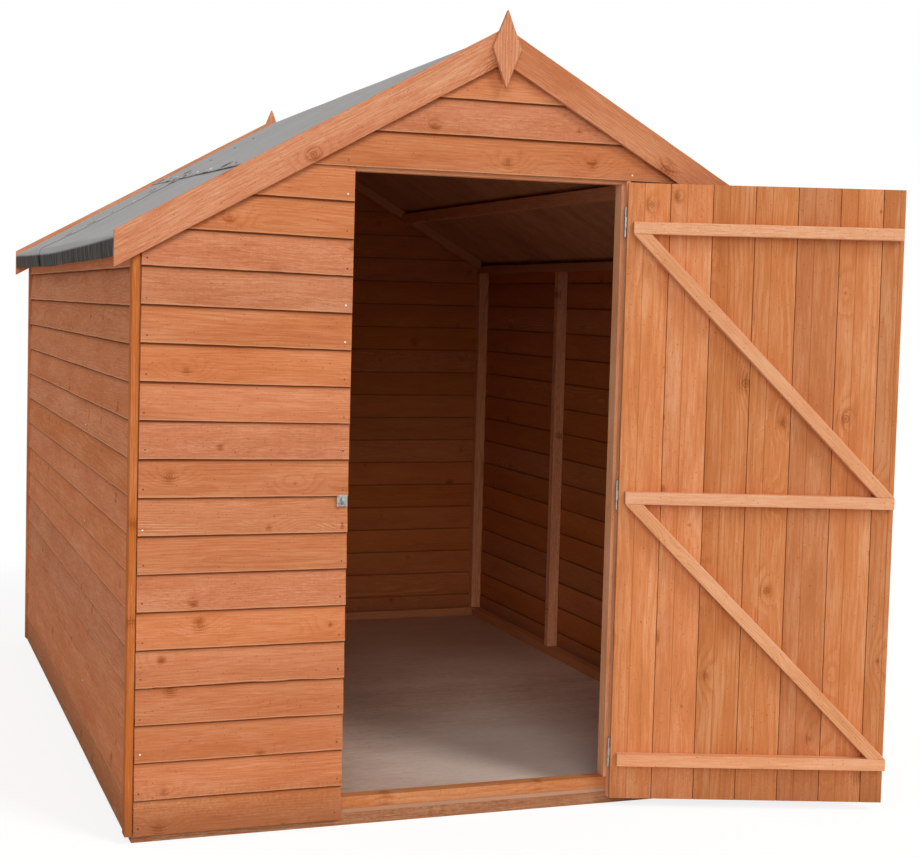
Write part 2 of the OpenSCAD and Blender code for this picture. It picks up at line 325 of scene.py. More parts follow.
def board_tree():
    """Boards along X, stacked up Z. Each leans by Lean and its lower edge wanders.

    The attribute grain holds each point's place along, across and through its board, with an
    offset of its own for every board, and tone a number from 0 to 1. across is the distance from
    the lower edge. room marks the faces towards the room and edge the faces that look down, the
    sawn lower edges. The wood materials paint the edges in shade, and the wall wood the room faces too.
    """
    tree = new_tree("Board Courses", [
        ("Count", "Int", 1), ("First", "Float", 0.0), ("Course", "Float", 0.1),
        ("Length", "Float", 1.0), ("Height", "Float", 0.1), ("Thickness", "Float", 0.007),
        ("Lean", "Float", 0.0), ("Edge Radius", "Float", 0.001), ("Cuts", "Int", 8),
        ("Wander", "Float", 0.0), ("Bow", "Float", 0.0), ("Settle", "Float", 0.0),
        ("Seed", "Int", 0), ("Material", "Material", None),
    ])
    given = add(tree, "NodeGroupInput", out=None)
    corners = []
    for far_side, top in ((False, False), (True, False), (True, True), (False, True)):
        across = add(tree, "Math MULTIPLY", given["Lean"], -1.0 if top else 0.0)
        if far_side:
            across = add(tree, "Math SUBTRACT", across, given["Thickness"])
        up = add(tree, "Math MULTIPLY", given["Height"], -1.0 if top else 0.0)
        corners.append(add(tree, "CombineXYZ", {"X": across, "Y": up}))
    outline = add(tree, "GeometryNodeCurvePrimitiveQuadrilateral",
                  {f"Point {i + 1}": corner for i, corner in enumerate(corners)}, mode="POINTS")
    eased = add(tree, "GeometryNodeFilletCurve",
                {"Curve": outline, "Count": 2, "Radius": given["Edge Radius"]}, mode="POLY")
    end = add(tree, "CombineXYZ", {"X": given["Length"]})
    line = add(tree, "GeometryNodeCurvePrimitiveLine", {"End": end})
    rail = add(tree, "GeometryNodeResampleCurve", {"Curve": line, "Count": given["Cuts"]})
    upright = add(tree, "GeometryNodeSetCurveNormal", {"Curve": rail}, mode="Z_UP")
    board = add(tree, "GeometryNodeCurveToMesh",
                {"Curve": upright, "Profile Curve": eased, "Fill Caps": True})
    place = add(tree, "GeometryNodeInputPosition")
    axes = add(tree, "SeparateXYZ", place, out=None)
    local = add(tree, "CombineXYZ", {"X": axes["X"], "Y": axes["Z"], "Z": axes["Y"]})
    single = board
    for name, kind, value in (("grain", "FLOAT_VECTOR", local), ("across", "FLOAT", axes["Z"])):
        single = add(tree, "GeometryNodeStoreNamedAttribute",
                     {"Geometry": single, "Name": name, "Value": value}, data_type=kind, domain="POINT")

    index = add(tree, "GeometryNodeInputIndex")
    settled = add(tree, "MapRange", {"Value": index, 1: 7.0, 2: 13.0}, **SMOOTH)
    slant = add(tree, "Math MULTIPLY", settled, given["Settle"])
    raised = add(tree, "Math MULTIPLY", add(tree, "Math MULTIPLY", slant, given["Length"]), 0.45)
    start = add(tree, "CombineXYZ", {"Z": given["First"]})
    step = add(tree, "CombineXYZ", {"Z": given["Course"]})
    rows = add(tree, "GeometryNodeMeshLine",
               {"Count": given["Count"], "Start Location": start, "Offset": step})
    lift = add(tree, "CombineXYZ", {"Z": raised})
    lifted = add(tree, "GeometryNodeSetPosition", {"Geometry": rows, "Offset": lift})
    turn = add(tree, "CombineXYZ", {"Y": slant})
    turned = add(tree, "FunctionNodeEulerToRotation", turn)
    placed = add(tree, "GeometryNodeInstanceOnPoints",
                 {"Points": lifted, "Instance": single, "Rotation": turned})
    numbered = add(tree, "GeometryNodeStoreNamedAttribute",
                   {"Geometry": placed, "Name": "board", "Value": index}, data_type="INT",
                   domain="INSTANCE")
    real = add(tree, "GeometryNodeRealizeInstances", numbered)

    number = add(tree, "GeometryNodeInputNamedAttribute", {"Name": "board"}, data_type="INT")
    grain = add(tree, "GeometryNodeInputNamedAttribute", {"Name": "grain"}, data_type="FLOAT_VECTOR")

    # Every board draws an offset on each axis, whether it is ragged, and its tone
    draws = []
    spans = ((0.0, 40.0), (-0.08, 0.02), (0.012, 0.07), (0.0, 1.0), (0.0, 1.0))
    for step, (low, high) in enumerate(spans):
        seed = add(tree, "Math ADD", given["Seed"], float(step))
        draws.append(add(tree, "FunctionNodeRandomValue", {2: low, 3: high, "ID": number, "Seed": seed},
                         out=1, data_type="FLOAT"))

    apart = add(tree, "Math MULTIPLY", number, 5.37)
    along = add(tree, "SeparateXYZ", grain, out=None)
    spot = add(tree, "CombineXYZ", {"X": along["X"], "Y": apart, "Z": given["Seed"]})
    ragged = add(tree, "Math GREATER_THAN", draws[3], 0.92)
    swing = add(tree, "Math MULTIPLY_ADD", ragged, 2.2, 1.0)
    low_part = add(tree, "MapRange", along["Y"], 0.0, 0.06, 2.0, 0.0, **SMOOTH)
    edge_noise = add(tree, "TexNoise", {"Vector": spot, "Scale": 3.5, "Detail": 6.0, "Roughness": 0.68})
    stray = add(tree, "Math MULTIPLY", add(tree, "Math SUBTRACT", edge_noise, 0.5), given["Wander"])
    stray = add(tree, "Math MULTIPLY", add(tree, "Math MULTIPLY", stray, swing), low_part)
    face_noise = add(tree, "TexNoise", {"Vector": spot, "Scale": 1.9, "Detail": 1.0})
    bowed = add(tree, "Math MULTIPLY", add(tree, "Math SUBTRACT", face_noise, 0.5), given["Bow"])
    bowed = add(tree, "Math MULTIPLY", bowed, 2.0)
    shift = add(tree, "CombineXYZ", {"Y": bowed, "Z": stray})
    shaped = add(tree, "GeometryNodeSetPosition", {"Geometry": real, "Offset": shift})

    own = add(tree, "CombineXYZ", *draws[:3])
    moved = add(tree, "VectorMath ADD", grain, own)
    normal = add(tree, "SeparateXYZ", add(tree, "GeometryNodeInputNormal"), out=None)
    inner = add(tree, "Math GREATER_THAN", normal["Y"], 0.5)
    under = add(tree, "Math LESS_THAN", normal["Z"], -0.5)
    marked = shaped
    for name, kind, value, domain in (
            ("grain", "FLOAT_VECTOR", moved, "POINT"), ("tone", "FLOAT", draws[4], "POINT"),
            ("room", "FLOAT", inner, "FACE"), ("edge", "FLOAT", under, "FACE")):
        marked = add(tree, "GeometryNodeStoreNamedAttribute",
                     {"Geometry": marked, "Name": name, "Value": value}, data_type=kind, domain=domain)
    finished = add(tree, "GeometryNodeSetMaterial", {"Geometry": marked, "Material": given["Material"]})
    add(tree, "NodeGroupOutput", finished, out=None)
    return tree


def cut(mesh, point, normal):
    """Remove what lies beyond a plane, on the side its normal points to, and close the cut."""
    shape = bmesh.new()
    shape.from_mesh(mesh)
    everything = shape.verts[:] + shape.edges[:] + shape.faces[:]
    made = bmesh.ops.bisect_plane(shape, geom=everything, plane_co=point, plane_no=normal, clear_outer=True)
    rim = [item for item in made["geom_cut"] if isinstance(item, bmesh.types.BMEdge)]
    bmesh.ops.holes_fill(shape, edges=rim, sides=0)
    shape.to_mesh(mesh)
    shape.free()


# ---- Timbers: eased copies of the sawn pieces ----


def in_order(items):
    """Vertices, edges or faces of a bmesh without repeats, in the order of their numbers."""
    return sorted(set(items), key=lambda item: item.index)


def loose_parts(shape):
    """The vertices of each separate solid of a bmesh."""
    for sequence in (shape.verts, shape.edges, shape.faces):
        sequence.index_update()
    found = set()
    for start in shape.verts:
        if start in found:
            continue
        part = {start}
        edge_of_part = {start}
        while edge_of_part:
            near = {e.other_vert(v) for v in edge_of_part for e in v.link_edges} - part
            part |= near
            edge_of_part = near
        found |= part
        yield in_order(part)


def grain_axes(part, along=None):
    """Axes along, across and through a straight timber, from its longest edge and widest face."""
    if along is None:
        edges = in_order(e for v in part for e in v.link_edges)
        longest = max(edges, key=lambda e: round(e.calc_length(), 6))
        along = (longest.verts[1].co - longest.verts[0].co).normalized()
        # Every timber's axis points to the same side of a slant plane, whichever way its edge runs
        if along.dot(Vector((0.31, 0.53, 0.79))) < 0:
            along = -along
    areas = {}
    for face in in_order(f for v in part for f in v.link_faces):
        if abs(face.normal.dot(along)) < 0.5:
            key = tuple(round(abs(c), 2) for c in face.normal)
            total, normal = areas.get(key, (0.0, face.normal.copy()))
            areas[key] = (total + face.calc_area(), normal)
    through = max(areas.values(), key=lambda item: round(item[0], 7))[1]
    through = (through - along * through.dot(along)).normalized()
    return along, through.cross(along), through


def eased_timbers(nodes, seed, edge=0.001, along=None, cell=0.12, wander=0.0, tone=None):
    """Copies of CAD timbers with eased edges, cut into cells along their length and slightly uneven."""
    lots = random.Random(seed)
    # A seed of 0 would be taken from the clock
    noise.seed_set(seed + 1)
    points, faces, grains, tones = [], [], [], []
    for node in nodes:
        shape = bmesh.new()
        shape.from_mesh(frame["nodes"][node].data)
        bmesh.ops.remove_doubles(shape, verts=shape.verts, dist=1e-6)
        bmesh.ops.dissolve_limit(shape, angle_limit=0.01, verts=shape.verts, edges=shape.edges)
        for part in loose_parts(shape):
            axes = grain_axes(part, along)
            origin = part[0].co.copy()
            extent = [axes[0].dot(v.co - origin) for v in part]
            solid = part_copy(part)
            cuts = int((max(extent) - min(extent)) / cell)
            for i in range(1, cuts):
                middle = origin + axes[0] * (min(extent) + (max(extent) - min(extent)) * i / cuts)
                everything = solid.verts[:] + solid.edges[:] + solid.faces[:]
                bmesh.ops.bisect_plane(solid, geom=everything, plane_co=middle, plane_no=axes[0])
            sharp = [e for e in solid.edges if e.calc_face_angle(0.0) > 0.3]
            bmesh.ops.bevel(solid, geom=sharp, offset=edge, segments=2, profile=0.5, affect="EDGES")
            own = Vector((lots.uniform(0, 40), lots.uniform(-0.06, 0.06), lots.uniform(0.01, 0.06)))
            shade = lots.random() if tone is None else tone
            first = len(points)
            for v in solid.verts:
                local = Vector(axis.dot(v.co - origin) for axis in axes)
                drift = noise.noise_vector((local + own) * 2.3)
                drift += 0.4 * noise.noise_vector((local + own) * 14.0)
                drift -= axes[0] * drift.dot(axes[0])
                points.append(v.co + drift * wander)
                grains.append(local + own)
                tones.append(shade)
            solid.verts.index_update()
            faces.extend([first + v.index for v in f.verts] for f in solid.faces)
            solid.free()
        shape.free()
    mesh = bpy.data.meshes.new("timbers")
    mesh.from_pydata(points, [], faces)
    mark(mesh, grain=grains, tone=tones)
    return mesh


def part_copy(part):
    """A bmesh that holds only one solid of another bmesh."""
    solid = bmesh.new()
    twin = {v: solid.verts.new(v.co) for v in part}
    for face in in_order(f for v in part for f in v.link_faces):
        solid.faces.new([twin[v] for v in face.verts])
    bmesh.ops.recalc_face_normals(solid, faces=solid.faces)
    return solid


# ---- Fixings: one tree places nail heads, clouts and screws ----


def fixing_tree():
    """A low domed head on every point of the start mesh, facing along Normal."""
    tree = new_tree("Fixing Heads", [
        ("Geometry", "Geometry", None), ("Radius", "Float", 0.002), ("Rise", "Float", 0.0006),
        ("Normal", "Vector", (0.0, -1.0, 0.0)), ("Tilt", "Float", 0.08), ("Seed", "Int", 0),
        ("Material", "Material", None),
    ])
    given = add(tree, "NodeGroupInput", out=None)
    rim = add(tree, "Math MULTIPLY", given["Radius"], 0.72)
    head = add(tree, "GeometryNodeMeshCone",
               {"Vertices": 10, "Radius Top": rim, "Radius Bottom": given["Radius"],
                "Depth": given["Rise"]}, out="Mesh")
    index = add(tree, "GeometryNodeInputIndex")
    facing = add(tree, "FunctionNodeAlignRotationToVector", {"Vector": given["Normal"]}, axis="Z")
    tip = add(tree, "FunctionNodeRandomValue",
              {0: (-1.0, -1.0, -3.0), 1: (1.0, 1.0, 3.0), "ID": index, "Seed": given["Seed"]},
              data_type="FLOAT_VECTOR")
    limits = add(tree, "CombineXYZ", {"X": given["Tilt"], "Y": given["Tilt"], "Z": 1.0})
    lean = add(tree, "VectorMath MULTIPLY", tip, limits)
    tipped = add(tree, "FunctionNodeRotateRotation", facing,
                 add(tree, "FunctionNodeEulerToRotation", lean), rotation_space="LOCAL")
    seed_of_tone = add(tree, "Math ADD", given["Seed"], 1.0)
    tone = add(tree, "FunctionNodeRandomValue", {"ID": index, "Seed": seed_of_tone}, out=1,
               data_type="FLOAT")
    size = add(tree, "Math MULTIPLY_ADD", tone, 0.3, 0.85)
    placed = add(tree, "GeometryNodeInstanceOnPoints",
                 {"Points": given["Geometry"], "Instance": head, "Rotation": tipped,
                  "Scale": add(tree, "CombineXYZ", {"X": size, "Y": size, "Z": 1.0})})
    toned = add(tree, "GeometryNodeStoreNamedAttribute",
                {"Geometry": placed, "Name": "tone", "Value": tone}, data_type="FLOAT", domain="INSTANCE")
    real = add(tree, "GeometryNodeRealizeInstances", toned)
    finished = add(tree, "GeometryNodeSetMaterial", {"Geometry": real, "Material": given["Material"]})
    add(tree, "NodeGroupOutput", finished, out=None)
    return tree


def heads(name, places, normal, body, material, radius, rise=0.0006, tilt=0.08, seed=0):
    """A piece of fixing heads at the given places."""
    start = bpy.data.meshes.new(name)
    start.from_pydata([tuple(p) for p in places], [], [])
    mesh = grow(tree_of("Fixing Heads", fixing_tree), {
        "Radius": radius, "Rise": rise, "Normal": tuple(normal), "Tilt": tilt, "Seed": seed,
        "Material": material}, start)
    return make_piece(name, mesh, body)


def tree_of(name, build):
    """A geometry tree by name, built the first time it is wanted."""
    return bpy.data.node_groups.get(name) or build()


# ---- Materials ----


def new_material(name):
    """An empty material and its node tree."""
    material = bpy.data.materials.new(name)
    material.use_nodes = True
    material.node_tree.nodes.clear()
    return material, material.node_tree


def finish_surface(tree, base, height, roughness, bump_depth, bump=0.6, metallic=0.0, specular=0.35):
    """A principled surface with a bump, linked to the output."""
    relief = add(tree, "Bump", {"Strength": bump, "Distance": bump_depth, "Height": height})
    surface = add(tree, "BsdfPrincipled",
                  {"Base Color": base, "Roughness": roughness, "Metallic": metallic,
                   "Specular IOR Level": specular, "Normal": relief})
    add(tree, "OutputMaterial", {"Surface": surface}, out=None)


def knots_of(tree, grain, share, size):
    """The heart, the halo, the swirl of growth rings and the fine rings of every knot."""
    # Knots lie one to a cell of 240 by 90 mm, and only in some cells
    cell_long, cell_wide = 0.24, 0.09
    cell_place = add(tree, "Mapping", {"Vector": grain, "Scale": (1 / cell_long, 1 / cell_wide, 0.0)})
    cells = add(tree, "TexVoronoi", {"Vector": cell_place, "Scale": 1.0}, out=None,
                voronoi_dimensions="2D")
    offset = add(tree, "VectorMath SUBTRACT", cell_place, cells["Position"])
    near = add(tree, "Mapping", {"Vector": offset, "Scale": (cell_long, cell_wide, 0.0)})
    squeezed = add(tree, "Mapping", {"Vector": near, "Scale": (0.42, 1.0, 0.0)})
    round_way, long_way = (
        add(tree, "VectorMath LENGTH", way, out="Value") for way in (near, squeezed))
    wobble = add(tree, "TexNoise", {"Vector": grain, "Scale": 130.0, "Detail": 3.0})
    wobble = add(tree, "Math MULTIPLY", add(tree, "Math SUBTRACT", wobble, 0.5), 0.008)
    lot = add(tree, "SeparateColor", cells["Color"], out=None)
    present = add(tree, "Math LESS_THAN", lot[1], share)
    radius = add(tree, "Math MULTIPLY_ADD", add(tree, "Math POWER", lot[0], 2.0), size, 0.0025)
    parts = add(tree, "Math DIVIDE", add(tree, "Math ADD", round_way, wobble), radius)
    core, halo, swirl = (
        add(tree, "Math MULTIPLY", add(tree, "MapRange", field, full, none, 1.0, 0.0, **SMOOTH), present)
        for field, full, none in ((parts, 0.55, 1.05), (parts, 0.8, 2.6), (long_way, 0.0, 0.04)))
    ripples = add(tree, "Math SINE", add(tree, "Math MULTIPLY", parts, 11.0))
    ripples = add(tree, "Math MULTIPLY_ADD", ripples, 0.5, 0.5)
    core = add(tree, "Math MULTIPLY", core, add(tree, "Math MULTIPLY_ADD", ripples, 0.6, 0.4))
    return core, halo, swirl, ripples


def grain_noises(tree, grain):
    """Noises drawn out along the grain: ragged edges of the growth rings, fine fibres, torn flecks and
    blade marks of the sawn face, stain that took unevenly, and patches where the flecks gather."""
    curl = add(tree, "TexNoise", {"Vector": grain, "Scale": 24.0}, out=1)
    curl = add(tree, "Mapping", {"Vector": curl, "Scale": (0.0, 0.012, 0.0)})
    curled = add(tree, "VectorMath ADD", grain, curl)
    # The blade's marks, the fourth of these, are about 2 mm apart and drawn at 5 mm so that they show
    layers = ((grain, (14.0, 170.0, 170.0), 3.0, 0.5), (grain, (14.0, 340.0, 340.0), 5.0, 0.72),
              (curled, (52.0, 330.0, 330.0), 5.0, 0.75), (grain, (210.0, 16.0, 16.0), 2.0, 0.6),
              (grain, (3.0, 17.0, 17.0), 5.0, 0.62), (grain, (6.0, 22.0, 22.0), 3.0, 0.6))
    return [
        add(tree, "TexNoise",
            {"Vector": add(tree, "Mapping", {"Vector": place, "Scale": stretch}), "Scale": 1.0,
             "Detail": detail, "Roughness": roughness})
        for place, stretch, detail, roughness in layers]


def late_wood(tree, grain, swirl, rough_edge, ring_gap):
    """The dark part of growth rings around a pith that runs beside the board and wanders along it."""
    drift = add(tree, "Mapping", {"Vector": grain, "Scale": (1.0, 1.6, 1.6)})
    drift = add(tree, "TexNoise", {"Vector": drift, "Scale": 1.5}, out=1)
    drift = add(tree, "VectorMath SUBTRACT", drift, (0.5, 0.5, 0.5))
    drift = add(tree, "Mapping", {"Vector": drift, "Scale": (0.0, 0.045, 0.05)})
    rings_round = add(tree, "VectorMath ADD", grain, drift)
    rings_round = add(tree, "Mapping", {"Vector": rings_round, "Scale": (0.0, 1.0, 1.0)})
    ring_radius = add(tree, "VectorMath LENGTH", rings_round, out="Value")
    bent = add(tree, "Math MULTIPLY_ADD", swirl, 0.02, ring_radius)
    rough_edge = add(tree, "Math MULTIPLY", rough_edge, 0.004)
    phase = add(tree, "Math DIVIDE", add(tree, "Math ADD", bent, rough_edge), ring_gap)
    phase = add(tree, "Math FRACT", phase)
    return add(tree, "Math MULTIPLY", add(tree, "MapRange", phase, 0.35, 0.92, **SMOOTH),
               add(tree, "MapRange", phase, 0.93, 1.0, 1.0, 0.0, **SMOOTH))


def softwood(name, pale, base, dark, rings=0.15, fibre=0.8, flecks=0.13, sawn=(0.45, 0.8), knots=0.4,
             ring_gap=0.006, arches=0.5, relief=0.0008, grime=0.0, variety=0.15, lap=0.0, bead=0.0,
             room=None, knot_size=0.009, clouds=0.6):
    """Spruce or pine in a thin orange stain. The grain attribute lays the figure along each timber.

    rings is how dark the late wood shows, and ring_gap its spacing, drawn wider than the real 2 to
    4 mm. flecks is how strongly torn fibres show on the sawn boards, those whose lot is past sawn.
    lap is where the painted shade under the next board begins, and bead where a painted shade line runs
    along a board.
    clouds is how strongly the stain took unevenly.
    """
    material, tree = new_material(name)
    finishes = bpy.context.scene.shed_finish
    grain = add(tree, "Attribute", out="Vector", attribute_name="grain")
    tone = add(tree, "Attribute", out="Fac", attribute_name="tone")
    second_tone, third_tone = (
        add(tree, "Math FRACT", add(tree, "Math MULTIPLY", tone, factor)) for factor in (7.31, 13.77))

    core, halo, swirl, ripples = knots_of(tree, grain, knots, knot_size)
    rough_edge, fibres, torn, marks, uneven, patches = grain_noises(tree, grain)
    late = late_wood(tree, grain, swirl, rough_edge, ring_gap)

    # Some boards are rougher from the saw than others
    is_sawn = add(tree, "MapRange", third_tone, sawn[0], sawn[1], 0.12, 1.0, **SMOOTH)
    torn, marks = (
        add(tree, "Math MULTIPLY", add(tree, "Math SUBTRACT", layer, 0.5), is_sawn)
        for layer in (torn, marks))
    patches = add(tree, "MapRange", patches, 0.35, 0.62, 0.45, 1.3, **SMOOTH)
    torn = add(tree, "Math MULTIPLY", torn, patches)
    specks = add(tree, "TexNoise", {"Vector": grain, "Scale": 190.0, "Roughness": 0.6})
    specks = add(tree, "MapRange", specks, 0.66, 0.74, **SMOOTH)

    strength = add(tree, "Math MULTIPLY_ADD", second_tone, 0.7 * rings, 0.3 * rings)
    strength = add(tree, "Math MULTIPLY_ADD", halo, 0.35, strength)
    figure = add(tree, "Math MULTIPLY_ADD", late, strength, 0.5 - 0.35 * rings)
    # A few boards show pale arches instead
    arched = add(tree, "Math MULTIPLY", add(tree, "MapRange", second_tone, 0.84, 0.88, **SMOOTH),
                 add(tree, "MapRange", uneven, 0.46, 0.6, **SMOOTH))
    addends = [(add(tree, "Math MULTIPLY", arched, late), -arches)]
    addends += [(add(tree, "Math SUBTRACT", layer, 0.5), share)
                for layer, share in ((fibres, fibre), (uneven, clouds))]
    addends += [(torn, -4.6 * flecks), (marks, 0.7 * flecks), (specks, 0.5)]
    # A painted shade line along each door board, where a groove's shade would fall
    if bead:
        across = add(tree, "Attribute", out="Fac", attribute_name="across")
        line = add(tree, "Math ABSOLUTE", add(tree, "Math SUBTRACT", across, bead))
        addends.append((add(tree, "MapRange", line, 0.0006, 0.0018, 1.0, 0.0, **SMOOTH), 0.28))
    for layer, share in addends:
        figure = add(tree, "Math MULTIPLY_ADD", layer, share, figure)

    wood = add(tree, "ValToRGB", figure, stops=[(0.0, pale), (0.5, base), (1.0, dark)])
    stains_and_shade = []
    # Painted shade: the faces towards the room take a darker, richer ramp
    if room is not None:
        painted_room_shade = add(tree, "ValToRGB", figure, stops=[(0.0, room[0]), (1.0, room[1])])
        stains_and_shade.append((add(tree, "Attribute", out="Fac", attribute_name="room"), painted_room_shade))
    rim = add(tree, "Math MULTIPLY_ADD", ripples, 0.3, 0.1)
    stains_and_shade.append((add(tree, "Math MULTIPLY", halo, rim), dark))
    stains_and_shade.append((add(tree, "Math MULTIPLY", core, 0.55), finishes.knot))
    for share, shade in stains_and_shade:
        wood = add(tree, "Mix", {0: share, 6: wood, 7: shade}, **BLEND)
    level, hue, rich = (
        add(tree, "Math MULTIPLY_ADD", add(tree, "Math SUBTRACT", chance, 0.5), share, middle)
        for chance, share, middle in (
            (tone, variety, 1.0), (second_tone, 0.002, 0.5), (third_tone, -0.06, 1.0)))
    wood = add(tree, "HueSaturation", {"Hue": hue, "Saturation": rich, "Value": level, "Color": wood})
    stains_and_shade = []
    if lap:
        # Outside, painted soft shade under the next board and a painted shadow line in the joint.
        # Towards the room, only the painted shadow line. A painted highlight runs along the lower edge.
        across, inner = (
            add(tree, "Attribute", out="Fac", attribute_name=label) for label in ("across", "room"))
        outer = add(tree, "Math SUBTRACT", 1.0, inner)
        overlap = bpy.context.scene.shed_cladding.lap
        shade, outer_line, painted_highlight = (
            add(tree, "Math MULTIPLY", add(tree, "MapRange", across, *ends, **SMOOTH), outer)
            for ends in ((lap - 0.016, lap, 0.0, 0.4), (lap - 0.006, lap - 0.003, 0.0, 0.68),
                         (0.002, 0.005, 0.35, 0.0)))
        line = add(tree, "MapRange", across, overlap + 0.001, overlap + 0.006, 0.55, 0.0, **SMOOTH)
        line = add(tree, "Math MULTIPLY_ADD", line, inner, outer_line)
        stains_and_shade += [(shade, finishes.edge), (painted_highlight, pale), (line, finishes.joint)]
    # Painted shade on the faces that look down, the boards' sawn lower edges
    edge = add(tree, "Attribute", out="Fac", attribute_name="edge")
    stains_and_shade.append((add(tree, "Math MULTIPLY", edge, 0.75), finishes.edge))
    if grime:
        place = add(tree, "TexCoord", out="Object")
        ground = add(tree, "SeparateXYZ", place, out="Z")
        spots = add(tree, "TexNoise", {"Vector": place, "Scale": 120.0, "Detail": 6.0, "Roughness": 0.8})
        reach = add(tree, "Math SUBTRACT", add(tree, "Math MULTIPLY_ADD", spots, 0.2, 0.02), ground)
        splash = add(tree, "MapRange", reach, -0.03, 0.09, **SMOOTH)
        stains_and_shade.append((add(tree, "Math MULTIPLY", splash, grime), finishes.dirt))
    for share, shade in stains_and_shade:
        wood = add(tree, "Mix", {0: share, 6: wood, 7: shade}, **BLEND)
    height = add(tree, "Math MULTIPLY_ADD", late, -0.2, fibres)
    height = add(tree, "Math MULTIPLY_ADD", torn, 3.0 * flecks, height)
    height = add(tree, "Math MULTIPLY_ADD", marks, 0.8 * flecks, height)
    finish_surface(tree, wood, height, roughness=0.9, bump_depth=relief, specular=0.08)
    return material


def sheet_board(name, base, streak, relief=0.0006, gloss=0.7, entry=None):
    """Pressed board of flattened chips: faint streaks, scuffs and dusty marks.

    entry is the place where light falls in at the door: a paler patch of painted light lies near it,
    and a deeper brown of painted shade farther from it, with soil on the edge that lies in the open,
    beyond the entry.
    """
    material, tree = new_material(name)
    place = add(tree, "TexCoord", out="Object")
    flakes = add(tree, "Mapping", {"Vector": place, "Scale": (60.0, 190.0, 60.0)})
    chips = add(tree, "TexVoronoi", {"Vector": flakes, "Scale": 1.0}, out="Color")
    dust = add(tree, "TexNoise",
               {"Vector": add(tree, "Mapping", {"Vector": place, "Scale": (2.2, 5.0, 2.2)}), "Scale": 1.0,
                "Detail": 5.0, "Roughness": 0.65})
    lines = add(tree, "TexNoise",
                {"Vector": add(tree, "Mapping", {"Vector": place, "Scale": (1.5, 60.0, 1.5)}),
                 "Scale": 1.0, "Detail": 3.0, "Roughness": 0.6})
    chip_tone = add(tree, "SeparateColor", chips)
    shade = add(tree, "Math MULTIPLY_ADD", add(tree, "Math SUBTRACT", chip_tone, 0.5), 0.25, dust)
    shade = add(tree, "Math MULTIPLY_ADD", add(tree, "Math SUBTRACT", lines, 0.5), 0.5, shade)
    surface = add(tree, "ValToRGB", shade, stops=[(0.25, base), (0.85, streak)])
    if entry is not None:
        steps = add(tree, "VectorMath LENGTH", add(tree, "VectorMath SUBTRACT", place, entry),
                    out="Value")
        depth = add(tree, "SeparateXYZ", place, out="Y")
        # Painted light: a paler patch near the entry, and painted shade: a deeper brown farther in
        painted_light_patch, painted_shade_brown, soil = "#F6E6DA", "#A87452", "#A8704C"
        for field, ends, stain in ((steps, (0.15, 0.75, 0.55, 0.0), painted_light_patch),
                                   (steps, (0.8, 1.7, 0.0, 0.6), painted_shade_brown),
                                   (depth, (entry[1] - 0.305, entry[1] - 0.29, 0.85, 0.0), soil)):
            share = add(tree, "MapRange", field, *ends, **SMOOTH)
            surface = add(tree, "Mix", {0: share, 6: surface, 7: linear(stain)}, **BLEND)
    finish_surface(tree, surface, add(tree, "Math ADD", chip_tone, lines), gloss, relief)
    return material


def mineral_felt(name):
    """Bitumen felt faced with crushed mineral: a dull grey of fine grit, dark where it is folded."""
    material, tree = new_material(name)
    finishes = bpy.context.scene.shed_finish
    place = add(tree, "TexCoord", out="Object")
    fold = add(tree, "Attribute", out="Fac", attribute_name="fold")
    # Grit of about 1 mm, drawn at 3 mm so that it shows
    grit = add(tree, "TexNoise", {"Vector": place, "Scale": 330.0, "Roughness": 0.8})
    clouds = add(tree, "TexNoise", {"Vector": place, "Scale": 3.2, "Detail": 4.0, "Roughness": 0.6})
    streaks = add(tree, "TexNoise",
                  {"Vector": add(tree, "Mapping", {"Vector": place, "Scale": (9.0, 95.0, 4.0)}),
                   "Scale": 1.0, "Detail": 3.0, "Roughness": 0.7})
    light = add(tree, "Math MULTIPLY_ADD", add(tree, "Math SUBTRACT", clouds, 0.5), 0.7,
                add(tree, "MapRange", grit, 0.2, 0.8, 0.2, 1.0, **SMOOTH))
    dull = dimmed(finishes.felt, 0.72)
    face = add(tree, "ValToRGB", light, stops=[(0.1, dull), (0.9, finishes.felt)])
    deep = dimmed(finishes.felt_fold, 0.35)
    # Painted sheen: the lighter streaks on the turned-down bitumen
    painted_highlight = dimmed(finishes.felt, 0.34)
    turned = add(tree, "ValToRGB", streaks, stops=[(0.38, deep), (0.52, finishes.felt_fold), (0.7, painted_highlight)])
    surface = add(tree, "Mix", {0: add(tree, "MapRange", fold, 0.2, 0.6, **SMOOTH), 6: face, 7: turned},
                  **BLEND)
    finish_surface(tree, surface, add(tree, "Math ADD", grit, streaks), roughness=0.9,
                   bump_depth=0.0008, bump=0.7, specular=0.2)
    return material


def bitumen(name):
    """Bare bitumen where the felt is torn: nearly black with a dull shine."""
    material, tree = new_material(name)
    place = add(tree, "TexCoord", out="Object")
    grit = add(tree, "TexNoise", {"Vector": place, "Scale": 500.0})
    finish_surface(tree, linear("#1E1A18"), grit, roughness=0.5, bump_depth=0.0003)
    return material


def zinc_plate(name):
    """Bright zinc plating on pressed steel: silvery, slightly spangled, dulled by weather."""
    material, tree = new_material(name)
    place = add(tree, "TexCoord", out="Object")
    spangle = add(tree, "TexVoronoi", {"Vector": place, "Scale": 240.0}, out="Color")
    cloud = add(tree, "TexNoise", {"Vector": place, "Scale": 60.0, "Detail": 4.0, "Roughness": 0.6})
    tone = add(tree, "SeparateColor", spangle)
    zinc = bpy.context.scene.shed_finish.zinc
    dull = dimmed(zinc, 0.55)
    shade = add(tree, "Math MULTIPLY_ADD", tone, 0.35, add(tree, "Math MULTIPLY", cloud, 0.9))
    surface = add(tree, "ValToRGB", shade, stops=[(0.3, dull), (0.8, zinc)])
    finish_surface(tree, surface, cloud, roughness=0.42, bump_depth=0.0002, bump=0.4, metallic=0.9,
                   specular=0.5)
    return material


